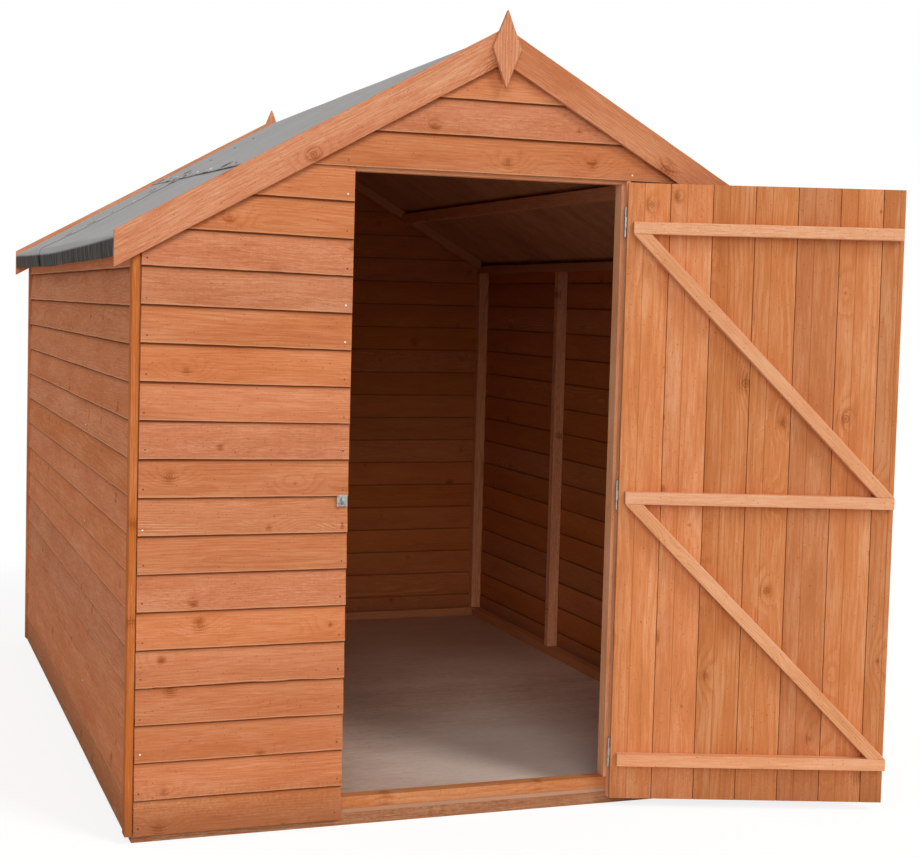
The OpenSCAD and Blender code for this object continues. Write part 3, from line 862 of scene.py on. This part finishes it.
def nail_steel(name, bright):
    """Wire nail heads: most are dulled by the stain, and a share of them are bare, with a painted
    near-white glint.
    """
    material, tree = new_material(name)
    finishes = bpy.context.scene.shed_finish
    tone = add(tree, "Attribute", out="Fac", attribute_name="tone")
    shine = add(tree, "MapRange", tone, 1.0 - bright - 0.02, 1.0 - bright, **SMOOTH)
    # The bare heads take a near-white colour: a painted glint
    surface = add(tree, "Mix", {0: shine, 6: finishes.nail, 7: linear("#F2EEE6")}, **BLEND)
    place = add(tree, "TexCoord", out="Object")
    pits = add(tree, "TexNoise", {"Vector": place, "Scale": 900.0})
    finish_surface(tree, surface, pits, roughness=0.5, bump_depth=0.0001, bump=0.3, metallic=0.25,
                   specular=0.5)
    return material


def material_of(name, build, *arguments, **settings):
    """A material by name, built the first time it is wanted."""
    return bpy.data.materials.get(name) or build(name, *arguments, **settings)


# The timbers: the material's name, its pale, base and dark colour settings, and its figure
WOODS = {
    # Sawn boards in orange-brown dip stain, darker and richer on the room side as painted shade
    "wall": ("Stained sawn spruce", "wall_pale wall_base wall_dark", {
        "rings": 0.12, "flecks": 0.17, "knots": 0.27, "grime": 0.5}),
    # The same stain on pine: pale torn fibres and ringed knots
    "trim": ("Stained pine trim", "trim_pale trim_base trim_dark", {
        "rings": 0.22, "fibre": 0.9, "flecks": 0.1, "sawn": (0.2, 0.6), "knots": 0.6,
        "knot_size": 0.016}),
    # Planed strips that took more stain: an even, brighter orange
    "strip": ("Stained spruce strip", "wall_pale strip_base wall_dark", {
        "rings": 0.08, "flecks": 0.04, "knots": 0.15, "grime": 0.4, "variety": 0.06}),
    # Rafters of the rear gable and rails inside the room, darker as painted shade
    "rafter": ("Stained spruce rafter", "room_pale rafter room_dark", {
        "rings": 0.15, "flecks": 0.1, "knots": 0.3, "variety": 0.1}),
    # The rest of the framing, in a thin stain
    "frame": ("Stained spruce framing", "frame_pale frame_base frame_dark", {
        "rings": 0.2, "flecks": 0.2, "knots": 0.4, "variety": 0.15}),
    # Planed door boards: smooth and warm, with faint arched figure and small knots
    "door": ("Stained pine door board", "door_pale door_base door_dark", {
        "rings": 0.13, "fibre": 0.55, "flecks": 0.05, "knots": 0.4, "ring_gap": 0.011, "arches": 0.4,
        "relief": 0.0004, "grime": 0.3, "variety": 0.24, "bead": 0.044, "knot_size": 0.013,
        "clouds": 0.8}),
    # Planed ledges and braces, the palest timber of the door
    "ledge": ("Stained pine ledge", "ledge_pale ledge_base ledge_dark", {
        "rings": 0.12, "fibre": 0.7, "flecks": 0.14, "knots": 0.12, "relief": 0.0004,
        "variety": 0.06}),
    # Sawn bearers near the soil: blotched and splashed
    "bearer": ("Soiled spruce bearer", "frame_pale bearer dirt", {
        "rings": 0.2, "flecks": 0.3, "knots": 0.3, "grime": 0.45}),
}


def wood_of(kind):
    """A timber's material, built the first time it is wanted."""
    name, colours, figure = WOODS[kind]
    scene = bpy.context.scene
    if kind == "wall":
        # The faces towards the room take the room colours as painted shade
        painted_room_shade = (scene.shed_finish.room_pale, scene.shed_finish.room_dark)
        figure = {**figure, "lap": scene.shed_cladding.course, "room": painted_room_shade}
    shades = [getattr(scene.shed_finish, setting) for setting in colours.split()]
    return material_of(name, softwood, *shades, **figure)


# ---- Operators ----


def height_and_lean(cladding):
    """A board's whole height, and how far it leans over that height to clear the next board."""
    height = cladding.course + cladding.lap
    clearance = 0.0004
    return height, cladding.thickness * height / cladding.course + clearance


def clad(name, node_names, origin, turn, span, top, bottom=None, settle=0.0, seed=0, slopes=False):
    """A piece of overlap boards. origin is the lower outer corner that the boards start from, and
    turn the wall's angle about Z, with 0 for boards that run along +X and face -Y."""
    settings = bpy.context.scene.shed_cladding
    height, lean = height_and_lean(settings)
    bottom = SKIRT_LEVEL if bottom is None else bottom
    first_step = settings.first_course if bottom == SKIRT_LEVEL else settings.course
    count = 1 + math.ceil((top - bottom - first_step) / settings.course)
    place = Matrix.Translation(origin) @ Matrix.Rotation(turn, 4, "Z")
    mesh = grow(tree_of("Board Courses", board_tree), {
        "Count": count, "First": bottom + first_step - settings.course, "Course": settings.course,
        "Length": span, "Height": height, "Thickness": settings.thickness, "Lean": lean,
        "Edge Radius": settings.edge_radius, "Cuts": max(2, round(span / 0.0125)),
        "Wander": settings.wander, "Bow": settings.bow, "Settle": settle,
        "Seed": settings.seed + seed, "Material": wood_of("wall")})
    mesh.transform(place)
    cut(mesh, (0, 0, bottom), (0, 0, -1))
    cut(mesh, (0, 0, top), (0, 0, 1))
    if slopes:
        for side in (-1, 1):
            cut(mesh, (0, 0, SEAT_LEVEL), (side * ROOF_RISE, 0, 1))
    return make_piece(name, mesh, "shed", node_names)


class SHED_OT_wall_boards(bpy.types.Operator):
    """Clad the four walls with overlap boards"""

    bl_idname = "shed.wall_boards"
    bl_label = "Wall Boards"

    def execute(self, context):
        settings = context.scene.shed_cladding
        left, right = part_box("front_boards_left"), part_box("front_boards_right")
        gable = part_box("front_gable_boards")
        gap = settings.end_gap
        front = left[0].y
        clad("front_cladding_left", ["front_boards_left"], (left[0].x + gap, front, 0), 0.0,
             left[1].x - left[0].x - gap, HEAD_LEVEL, settle=settings.settle, seed=0, slopes=True)
        clad("front_cladding_right", ["front_boards_right"], (right[0].x + settings.jamb, front, 0), 0.0,
             right[1].x - right[0].x - settings.jamb - gap, HEAD_LEVEL, seed=1, slopes=True)
        # A planed strip closes the boards' ends beside the hinges
        low = Vector((right[0].x, front, right[0].z))
        jamb = block_mesh(low, Vector((low.x + settings.jamb - 0.0005, right[1].y, HEAD_LEVEL)))
        upright = [Vector((v.co.z, v.co.y + 1.3, v.co.x)) for v in jamb.vertices]
        mark(jamb, grain=upright, tone=[0.45] * len(upright))
        jamb.materials.append(wood_of("ledge"))
        make_piece("jamb_strip", jamb, "shed")
        clad("front_cladding_gable", ["front_gable_boards"], (gable[0].x, front, 0), 0.0,
             gable[1].x - gable[0].x, SEAT_LEVEL, bottom=HEAD_LEVEL, seed=2, slopes=True)
        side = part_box("left_wall_boards")
        clad("left_cladding", ["left_wall_boards"], (side[0].x, side[1].y, 0), -math.pi / 2,
             side[1].y - side[0].y, side[1].z, seed=3)
        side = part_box("right_wall_boards")
        clad("right_cladding", ["right_wall_boards"], (side[1].x, side[0].y, 0), math.pi / 2,
             side[1].y - side[0].y, side[1].z, seed=4)
        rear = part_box("rear_wall_boards")
        clad("rear_cladding", ["rear_wall_boards"], (rear[1].x, rear[1].y, 0), math.pi,
             rear[1].x - rear[0].x, SEAT_LEVEL, seed=5, slopes=True)
        return {"FINISHED"}


class SHED_OT_trim(bpy.types.Operator):
    """Ease and grain the corner strips, barge boards and finials"""

    bl_idname = "shed.trim"
    bl_label = "Trim"

    def execute(self, context):
        dress("corner_trim", ["corner_strips"], "shed", "trim_boards", wood_of("strip"), 11, wander=0.0006)
        # One barge board of each pair is rough sawn and paler, and the other smooth
        barges = [f"{end}_barge_{side}" for end in ("front", "rear") for side in ("left", "right")]
        for i, node in enumerate(barges):
            dress(node + "_board", [node], "shed", "trim_boards", wood_of("trim"), 12 + i, wander=0.0012,
                  cell=0.05, tone=0.15 if i % 2 else 0.7)
        for i, node in enumerate(("front_finial", "rear_finial")):
            dress(node + "_board", [node], "shed", "trim_boards", wood_of("trim"), 20 + i,
                  along=Vector((0, 0, 1)), tone=0.78)
        return {"FINISHED"}


def block_mesh(low, high):
    """A plain block between two corners."""
    shape = bmesh.new()
    middle = Matrix.Translation((low + high) / 2)
    bmesh.ops.create_cube(shape, size=1.0, matrix=middle @ Matrix.Diagonal((*(high - low), 1.0)))
    mesh = bpy.data.meshes.new("block")
    shape.to_mesh(mesh)
    shape.free()
    return mesh


def dress(name, nodes, body, slot, material, seed, **shape):
    """A piece made of eased copies of CAD timbers."""
    mesh = eased_timbers(nodes, seed, **shape)
    mesh.materials.append(material)
    return make_piece(name, mesh, body, nodes)


class SHED_OT_framing(bpy.types.Operator):
    """Ease and grain the studs, rails, rafters and purlins"""

    bl_idname = "shed.framing"
    bl_label = "Framing"

    def execute(self, context):
        nodes = ("left_wall_studs", "left_wall_rails", "right_wall_studs", "right_wall_rails",
                 "rear_wall_studs", "rear_bottom_rail", "rear_gable_rafters", "front_wall_studs",
                 "front_bottom_rail", "front_gable_rafters", "door_posts", "door_head_rail",
                 "roof_purlins", "ridge_beam", "eave_battens")
        # The rafters and rails inside the room take the rafter wood, a painted-shade copy of the framing
        darker = ("rear_gable_rafters", "rear_bottom_rail", "left_wall_rails", "right_wall_rails")
        kinds = {**dict.fromkeys(darker, "rafter"), "door_posts": "ledge", "front_bottom_rail": "door"}
        for i, node in enumerate(nodes):
            # The threshold is a pale board
            tone = 0.9 if node == "front_bottom_rail" else None
            dress(node + "_timber", [node], "shed", "framing", wood_of(kinds.get(node, "frame")), 40 + i,
                  cell=0.3, tone=tone)
        return {"FINISHED"}


class SHED_OT_floor(bpy.types.Operator):
    """Grain the bearers and give the floor and roof sheets their surfaces"""

    bl_idname = "shed.floor"
    bl_label = "Floor and Roof Sheets"

    def execute(self, context):
        finishes = context.scene.shed_finish
        dress("floor_bearers_sawn", ["floor_bearers"], "shed", "bearers", wood_of("bearer"), 70,
              wander=0.0006)
        floor = material_of("Dusty floor board", sheet_board, finishes.floor, linear("#BE967F"), gloss=0.45,
                            entry=(0.3, -0.9, 0.05))
        deck = material_of("Rough roof sheet", sheet_board, finishes.deck, linear("#96603C"))
        for node, material in (("floor_deck", floor), ("roof_deck_left", deck), ("roof_deck_right", deck)):
            paint(node, material)
        return {"FINISHED"}


def paint(node, material):
    """Give a CAD node its material."""
    data = frame["nodes"][node].data
    data.materials.clear()
    data.materials.append(material)


def felt_sheet(place, columns, y_low, y_high):
    """A sheet of felt. place gives a point and its share of fold from a column, 0 to 1, and a Y."""
    thickness, row_gap = bpy.context.scene.shed_roof.felt, 0.025
    rows = max(2, round((y_high - y_low) / row_gap))
    points, faces, folds = [], [], []
    for j in range(rows + 1):
        y = y_low + (y_high - y_low) * j / rows
        for i in range(columns + 1):
            point, fold = place(i / columns, y)
            points.append(point)
            folds.append(fold)
    for j in range(rows):
        for i in range(columns):
            a = j * (columns + 1) + i
            faces.append((a, a + 1, a + columns + 2, a + columns + 1))
    mesh = bpy.data.meshes.new("felt")
    mesh.from_pydata(points, [], faces)
    mark(mesh, fold=folds)
    shape = bmesh.new()
    shape.from_mesh(mesh)
    if sum(f.normal.z for f in shape.faces) < 0:
        bmesh.ops.reverse_faces(shape, faces=shape.faces)
    bmesh.ops.solidify(shape, geom=shape.faces[:], thickness=thickness)
    shape.to_mesh(mesh)
    shape.free()
    return mesh


def slope_axes(side):
    """Directions down a slope and straight out of it. side is -1 for the left slope and 1 for the right."""
    cos, sin = math.cos(ROOF_SLOPE), math.sin(ROOF_SLOPE)
    return Vector((side * cos, 0, -sin)), Vector((side * sin, 0, cos))


def strip_reach(side, rear):
    """How far the ridge strip reaches down a slope. rear runs from 0 at the front to 1 at the rear."""
    settings = bpy.context.scene.shed_roof
    return settings.lap_line + settings.lap_skew * (0.5 + side * (rear - 0.5))


def slope_felt(side, low, high, lift, seed):
    """A rule for felt that runs down one slope and turns down over the eave."""
    settings = bpy.context.scene.shed_roof
    edge = max(abs(low.x), abs(high.x))
    down, up = slope_axes(side)
    # The radius of the turn over the eave, and the length of slope before it
    turn = 0.011
    straight = (edge - turn + turn * math.sin(ROOF_SLOPE)) / math.cos(ROOF_SLOPE)
    swing = math.pi / 2 - ROOF_SLOPE
    shoulder = Vector((0, 0, high.z)) + down * straight
    centre = shoulder - up * turn
    drop = centre.z - low.z
    total = straight + turn * swing + drop

    def place(share, y):
        # Columns are denser round the turn than along the slope
        along = total * (1 - (1 - share) ** 1.6)
        ripple = settings.ripple * (0.5 + 0.5 * noise.noise(Vector((along * 2.6 + seed, y * 3.4, side))))
        bulge = settings.sag * max(0.15, 0.6 + 0.9 * noise.noise(Vector((seed, y * 2.3, 1.3))))
        # Halfway along the eave the edge hangs slack, and its grey face reaches farther down
        slack = max(0.0, math.sin(math.pi * (y - low.y) / (high.y - low.y)))
        fold = 0.0
        if along <= straight:
            point, out = Vector((0, 0, high.z)) + down * along, up
        elif along <= straight + turn * swing:
            angle = (along - straight) / turn
            out = (up * math.cos(angle) + down * math.sin(angle)).normalized()
            point = centre + out * turn
            fold = 0.35 * angle / swing * (1 - slack)
        else:
            part = (along - straight - turn * swing) / drop
            out = Vector((side, 0, 0))
            wave = noise.noise(Vector((seed, y * 2.2, 3.7)))
            wave += 0.2 * noise.noise(Vector((seed, y * 19.0, 9.1)))
            fall = drop + 0.002 + settings.sag * (0.6 * wave + 1.5 * slack)
            point = centre + out * turn - Vector((0, 0, part * fall))
            fold = max(0.0, min(1.0, 0.5 + 2 * part - 0.5 * slack))
            bulge *= 1 - 0.8 * part * part
        reach = max(0.0, 1 - abs(along - straight) / 0.12) if along < straight else 1.0
        point += out * (lift(y) + ripple + bulge * reach * 0.8)
        point.y = y
        return point, fold

    return place


class SHED_OT_felt(bpy.types.Operator):
    """Lay the roof felt over both slopes and the ridge"""

    bl_idname = "shed.felt"
    bl_label = "Roof Felt"

    def execute(self, context):
        settings = context.scene.shed_roof
        felt = material_of("Grey mineral felt", mineral_felt)
        tar = material_of("Bitumen tear", bitumen)
        steel = material_of("Galvanised clout", nail_steel, bright=0.55)
        lots = random.Random(settings.seed)
        # The rear length of felt laps over the front one, and both share their waves
        under = 0.06
        for side, node in ((-1, "roof_felt_left"), (1, "roof_felt_right")):
            low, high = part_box(node)
            wave_seed = 4.0 + side
            front = slope_felt(side, low, high, lambda y: -settings.felt * 0.6, wave_seed)
            rear = slope_felt(side, low, high, lap_lift, wave_seed)
            for name, rule, y_low, y_high in (("rear", rear, settings.seam, high.y),
                                              ("front", front, low.y, settings.seam + under)):
                mesh = felt_sheet(rule, 70, y_low, y_high)
                mesh.materials.append(felt)
                stands_for = [node] if name == "front" else []
                make_piece(f"{node}_{name}_length", mesh, "shed", stands_for)
        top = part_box("roof_felt_ridge")[1]
        y_low, y_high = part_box("roof_felt_ridge")[0].y, top.y

        def ridge_place(share, y):
            side = -1 if share < 0.5 else 1
            rear = (y - y_low) / (y_high - y_low)
            reach = strip_reach(side, rear)
            along = abs(share - 0.5) * 2 * reach
            ripple = settings.ripple * noise.noise(Vector((share * 4 * reach, y * 3.0, 2.0)))
            lip = 0.004 * max(0.0, 1 - (reach - along) / 0.05)
            lip *= max(0.0, noise.noise(Vector((y * 6, side, 7.0))))
            point = Vector((0, y, top.z)) + slope_axes(side)[0] * along
            return point + Vector((0, 0, 0.0005 + 0.5 * ripple + lip)), 0.0

        mesh = felt_sheet(ridge_place, 60, y_low, y_high)
        mesh.materials.append(felt)
        make_piece("roof_felt_ridge_strip", mesh, "shed", ["roof_felt_ridge"])

        for side in (-1, 1):
            down, up = slope_axes(side)
            low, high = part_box("roof_felt_left" if side < 0 else "roof_felt_right")
            rule = slope_felt(side, low, high, lap_lift, 4.0 + side)
            nails = []
            # Clouts hold the seam in a row near the eave and in one that starts near the ridge. The
            # strip's edge has a row of its own, the second of the three
            seam_row = settings.seam + 0.018
            eave_row, ridge_row = (0.76, 1.06), (0.30, 0.72)
            distance = eave_row[0]
            while distance < eave_row[1]:
                nails.append(slope_point(rule, distance + lots.uniform(-0.03, 0.03), seam_row))
                distance += settings.clout_gap * 0.5
            last_row, margin = 8, 0.15
            for row in range(last_row + 1):
                y = y_low + margin + (y_high - y_low - 2 * margin) * row / last_row
                reach = strip_reach(side, (y - y_low) / (y_high - y_low)) - 0.02
                at = Vector((0, y + lots.uniform(-0.03, 0.03), top.z))
                nails.append(at + down * reach + up * 0.002)
            distance = ridge_row[0]
            while distance < ridge_row[1]:
                nails.append(slope_point(rule, distance, seam_row) + up * 0.005)
                distance += settings.clout_gap * lots.uniform(0.4, 0.8)
            torn = 0.4
            tears = [n + Vector((0, lots.uniform(-0.012, 0.012), 0)) for n in nails if lots.random() < torn]
            label = "left" if side < 0 else "right"
            heads(f"clouts_{label}", nails, up, "shed", steel, radius=0.0055, rise=0.0014,
                  tilt=0.15, seed=3)
            heads(f"felt_tears_{label}", tears, up, "shed", tar, radius=0.019, rise=0.0012,
                  tilt=0.02, seed=8)
        return {"FINISHED"}


def lap_lift(y):
    """How far the rear length of felt is lifted where it lies on the front one."""
    seam = bpy.context.scene.shed_roof.seam
    return bpy.context.scene.shed_roof.felt * 0.9 * max(0.0, min(1.0, (seam + 0.12 - y) / 0.06))


def slope_point(rule, distance, y):
    """A point of a felt rule at a distance from the ridge."""
    candidates = [rule(i / 400, y)[0] for i in range(401)]
    return min(candidates, key=lambda p: abs(math.hypot(p.x, candidates[0].z - p.z) - distance))


class SHED_OT_door(bpy.types.Operator):
    """Board the door and ease its ledges and braces"""

    bl_idname = "shed.door"
    bl_label = "Door"

    def execute(self, context):
        settings = context.scene.shed_door
        low, high = closed_box("door_boards")
        count = math.ceil((high.x - low.x) / settings.board_cover)
        tall = high.z - low.z
        mesh = grow(tree_of("Board Courses", board_tree), {
            "Count": count, "First": settings.joint / 2, "Course": settings.board_cover, "Length": tall,
            "Height": settings.board_cover - settings.joint, "Thickness": high.y - low.y, "Lean": 0.0,
            "Edge Radius": settings.groove, "Cuts": 30, "Wander": 0.0, "Bow": 0.0, "Settle": 0.0,
            "Seed": settings.seed, "Material": wood_of("door")})
        # The boards stand up, and the first lies along the hinged edge
        stand = Matrix.Rotation(-math.pi / 2, 4, "Y")
        mesh.transform(Matrix.Translation((high.x, low.y, low.z)) @ stand)
        cut(mesh, (low.x, 0, 0), (-1, 0, 0))
        # Board sides towards the hinges take the painted edge shade in the joints, but the hinged edge none
        shades = mesh.attributes["edge"].data
        for face in mesh.polygons:
            if face.center.x > high.x - settings.groove:
                shades[face.index].value = 0.0
        mesh.transform(door_place())
        make_piece("door_leaf", mesh, "door", ["door_boards"])
        # The boards' tongues close the joints a little below both faces
        tongue = Vector((0.0016, 0.0036, 0.0016))
        core = block_mesh(low + tongue, high - tongue)
        core.transform(door_place())
        # The tongues take the full painted edge shade, which darkens the joints
        mark(core, edge=[1.0] * len(core.vertices))
        core.materials.append(wood_of("door"))
        make_piece("door_tongues", core, "door")
        edge = settings.ledge_edge
        dress("door_ledges_planed", ["door_ledges"], "door", "door_timber", wood_of("ledge"), 80, edge=edge,
              cell=0.06, wander=0.0005)
        dress("door_braces_planed", ["door_braces"], "door", "door_timber", wood_of("ledge"), 83, edge=edge,
              cell=0.06, wander=0.0008)
        return {"FINISHED"}


def hinge_levels():
    """The middle height of each hinge plate."""
    heights = sorted(v.co.z for v in frame["nodes"]["hinge_plates"].data.vertices)
    groups = []
    for z in heights:
        if not groups or z - groups[-1][-1] > 0.2:
            groups.append([z])
        else:
            groups[-1].append(z)
    return [(group[0] + group[-1]) / 2 for group in groups]


class SHED_OT_hardware(bpy.types.Operator):
    """Give the hinges, hasp and staple their plating and add the screws"""

    bl_idname = "shed.hardware"
    bl_label = "Hardware"

    def execute(self, context):
        zinc = material_of("Zinc-plated steel", zinc_plate)
        for node in ("hinge_plates", "hasp_staple", "hinge_straps", "hasp"):
            paint(node, zinc)
        low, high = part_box("hasp_staple")
        inset = 0.005
        plate = [(x, low.y + 0.0092, z) for x in (low.x + inset, high.x - inset)
                 for z in (low.z + inset, high.z - inset)]
        heads("staple_screws", plate, (0, -1, 0), "shed", zinc, radius=0.003, rise=0.0012)
        plates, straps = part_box("hinge_plates"), closed_box("hinge_straps")
        levels = hinge_levels()
        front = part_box("front_boards_right")[0].y - 0.0025
        layout = ((0.009, 0.026), (0.009, -0.026), (0.02, 0.0))
        spots = [(plates[1].x - inward, front, z + rise) for z in levels for inward, rise in layout]
        heads("hinge_plate_screws", spots, (0, -1, 0), "shed", zinc, radius=0.0034,
              rise=0.0012)
        outer = closed_box("door_boards")[0].y - 0.002
        swing = door_place()
        spots = [swing @ Vector((straps[1].x - 0.004 - reach, outer, z)) for z in levels
                 for reach in (0.03, 0.11, 0.2, 0.285)]
        facing = swing.to_3x3() @ Vector((0, -1, 0))
        heads("hinge_strap_screws", spots, facing, "door", zinc, radius=0.0034,
              rise=0.0012)
        return {"FINISHED"}


def nail_wall(name, face, outward, columns, bottom, top, material, seed, drop=None, across_x=False):
    """Nail heads near every board's lower edge, in columns along a wall whose skin's plane is face."""
    settings = bpy.context.scene.shed_cladding
    lots = random.Random(seed)
    above_edge = 0.018
    height, lean = height_and_lean(settings)
    depth = face - outward * above_edge * lean / height
    places = []
    edge = bottom
    index = 0
    while edge + above_edge + 0.01 < top:
        for at in columns:
            along = at + lots.uniform(-0.003, 0.003)
            z = edge + above_edge + lots.uniform(-0.004, 0.004) + (drop(index, at) if drop else 0.0)
            if across_x:
                places.append((depth, along, z))
            elif z < SEAT_LEVEL - abs(at) * ROOF_RISE - 0.035:
                places.append((along, depth, z))
        edge += settings.first_course if edge == SKIRT_LEVEL else settings.course
        index += 1
    normal = (outward, 0, 0) if across_x else (0, outward, 0)
    return heads(name, places, normal, "shed", material, 0.0022, seed=seed)


class SHED_OT_nails(bpy.types.Operator):
    """Nail the boards to the framing"""

    bl_idname = "shed.nails"
    bl_label = "Nails"

    def execute(self, context):
        wire = material_of("Stained wire nail", nail_steel, bright=0.16)
        left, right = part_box("front_boards_left"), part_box("front_boards_right")
        side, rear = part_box("left_wall_boards"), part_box("rear_wall_boards")
        inset = 0.016
        front = [left[0].x + inset, left[1].x - inset, right[0].x + inset, right[1].x - inset]
        doorway = [left[1].x - inset, right[0].x + inset]
        settle = context.scene.shed_cladding.settle
        width = left[1].x - left[0].x

        def settled(index, x):
            share = max(0.0, min(1.0, (index - 7) / 6))
            share = share * share * (3 - 2 * share) if x < left[1].x else 0.0
            return settle * share * (0.45 * width - (x - left[0].x))

        nail_wall("front_nails", left[0].y, -1, front, SKIRT_LEVEL, HEAD_LEVEL, wire, seed=3,
                  drop=settled)
        nail_wall("gable_nails", left[0].y, -1, doorway, HEAD_LEVEL, SEAT_LEVEL, wire, seed=4)
        inner_stud = 0.275
        posts = [rear[0].x + inset, -inner_stud, inner_stud, rear[1].x - inset]
        nail_wall("rear_nails", rear[1].y, 1, posts, SKIRT_LEVEL, SEAT_LEVEL, wire, seed=5)
        bays = 3
        studs = [side[0].y + 0.02 + (side[1].y - side[0].y - 0.04) * i / bays for i in range(bays + 1)]
        nail_wall("left_nails", side[0].x, -1, studs, SKIRT_LEVEL, side[1].z, wire, seed=6,
                  across_x=True)
        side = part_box("right_wall_boards")
        nail_wall("right_nails", side[1].x, 1, studs, SKIRT_LEVEL, side[1].z, wire, seed=7,
                  across_x=True)
        return {"FINISHED"}


class SHED_OT_stage(bpy.types.Operator):
    """Set up the floor, the light and the camera"""

    bl_idname = "shed.stage"
    bl_label = "Stage"

    def execute(self, context):
        scene = context.scene
        settings = scene.shed_stage
        reach = 40.0
        mesh = bpy.data.meshes.new("floor")
        corners = [(-reach, -reach, 0), (reach, -reach, 0), (reach, reach, 0), (-reach, reach, 0)]
        mesh.from_pydata(corners, [], [(0, 1, 2, 3)])
        ground = bpy.data.objects.new("studio_floor", mesh)
        scene.collection.objects.link(ground)
        material, tree = new_material("Pale studio floor")
        seen = seen_directly(tree)
        pale = add(tree, "BsdfDiffuse", {"Color": linear("#F0EFED")})
        glow = add(tree, "Emission", {"Color": linear("#FFFFFF"), "Strength": 1.16})
        share = add(tree, "Math MULTIPLY", seen, 0.7)
        both = add(tree, "MixShader", share, pale, glow)
        add(tree, "OutputMaterial", {"Surface": both}, out=None)
        mesh.materials.append(material)

        world = bpy.data.worlds.new("Studio")
        scene.world = world
        world.use_nodes = True
        tree = world.node_tree
        tree.nodes.clear()
        even = add(tree, "Background", {"Color": linear("#FFFFFF"), "Strength": settings.sky})
        white = add(tree, "Background", {"Color": linear("#FFFFFF"), "Strength": 1.0})
        seen = seen_directly(tree)
        both = add(tree, "MixShader", seen, even, white)
        add(tree, "OutputWorld", {"Surface": both}, out=None)

        soft_sun(scene, "main_light", settings.sun, 18, (0.42, -0.62, 0.72))
        soft_sun(scene, "front_light", settings.front, 40, (-0.31, -0.88, 0.42))
        place_camera(scene, settings)
        scene.view_settings.view_transform = "Standard"
        return {"FINISHED"}


def soft_sun(scene, name, strength, spread_degrees, towards):
    """A wide, soft sun lamp that shines from the given direction."""
    lamp = bpy.data.lights.new(name, "SUN")
    lamp.energy = strength
    lamp.angle = math.radians(spread_degrees)
    sun = bpy.data.objects.new(name, lamp)
    sun.rotation_euler = Vector(towards).to_track_quat("Z", "Y").to_euler()
    scene.collection.objects.link(sun)


def seen_directly(tree):
    """1 for rays that come straight from the camera or by way of gloss or glass, else 0."""
    rays = add(tree, "LightPath", out=None)
    either = add(tree, "Math MAXIMUM", rays["Is Camera Ray"], rays["Is Glossy Ray"])
    return add(tree, "Math MAXIMUM", either, rays["Is Transmission Ray"])


def place_camera(scene, settings):
    """The camera at its heading, dip and roll."""
    heading, dip, roll = settings.heading, settings.dip, settings.roll
    forward = Vector((math.sin(heading) * math.cos(dip), math.cos(heading) * math.cos(dip), -math.sin(dip)))
    side = Vector((math.cos(heading), -math.sin(heading), 0))
    up = side.cross(forward)
    right = math.cos(roll) * side + math.sin(roll) * up
    upright = right.cross(forward)
    data = bpy.data.cameras.new("camera")
    data.lens = settings.lens
    data.sensor_width = 36.0
    data.sensor_fit = "HORIZONTAL"
    data.shift_x = settings.shift_x
    data.shift_y = settings.shift_y
    camera = bpy.data.objects.new("camera", data)
    turn = Matrix((right, upright, -forward)).transposed().to_4x4()
    camera.matrix_world = Matrix.Translation(settings.camera_place) @ turn
    scene.collection.objects.link(camera)
    scene.camera = camera


class SHED_PT_panel(bpy.types.Panel):
    """The shed's operators and settings"""

    bl_idname = "SHED_PT_panel"
    bl_label = "Garden Shed"
    bl_space_type = "VIEW_3D"
    bl_region_type = "UI"
    bl_category = "Shed"

    def draw(self, context):
        for operator in OPERATORS:
            self.layout.operator(operator.bl_idname)
        for name in SETTINGS:
            box = self.layout.box()
            group = getattr(context.scene, name)
            for key in group.bl_rna.properties.keys():
                if key not in ("rna_type", "name"):
                    box.prop(group, key)


SETTINGS = {
    "shed_cladding": CladdingSettings,
    "shed_door": DoorSettings,
    "shed_roof": RoofSettings,
    "shed_finish": FinishSettings,
    "shed_stage": StageSettings,
}
OPERATORS = (
    SHED_OT_wall_boards,
    SHED_OT_trim,
    SHED_OT_framing,
    SHED_OT_floor,
    SHED_OT_felt,
    SHED_OT_door,
    SHED_OT_hardware,
    SHED_OT_nails,
    SHED_OT_stage,
)


def register():
    """Register the settings, operators and panel."""
    for name, group in SETTINGS.items():
        bpy.utils.register_class(group)
        setattr(bpy.types.Scene, name, PointerProperty(type=group))
    for item in OPERATORS + (SHED_PT_panel,):
        bpy.utils.register_class(item)


def unregister():
    """Remove what register added."""
    for item in reversed(OPERATORS + (SHED_PT_panel,)):
        bpy.utils.unregister_class(item)
    for name, group in SETTINGS.items():
        delattr(bpy.types.Scene, name)
        bpy.utils.unregister_class(group)


def main():
    """Build the shed."""
    register()
    for operator in OPERATORS:
        group, name = operator.bl_idname.split(".")
        getattr(getattr(bpy.ops, group), name)()


if __name__ == "__main__":
    main()
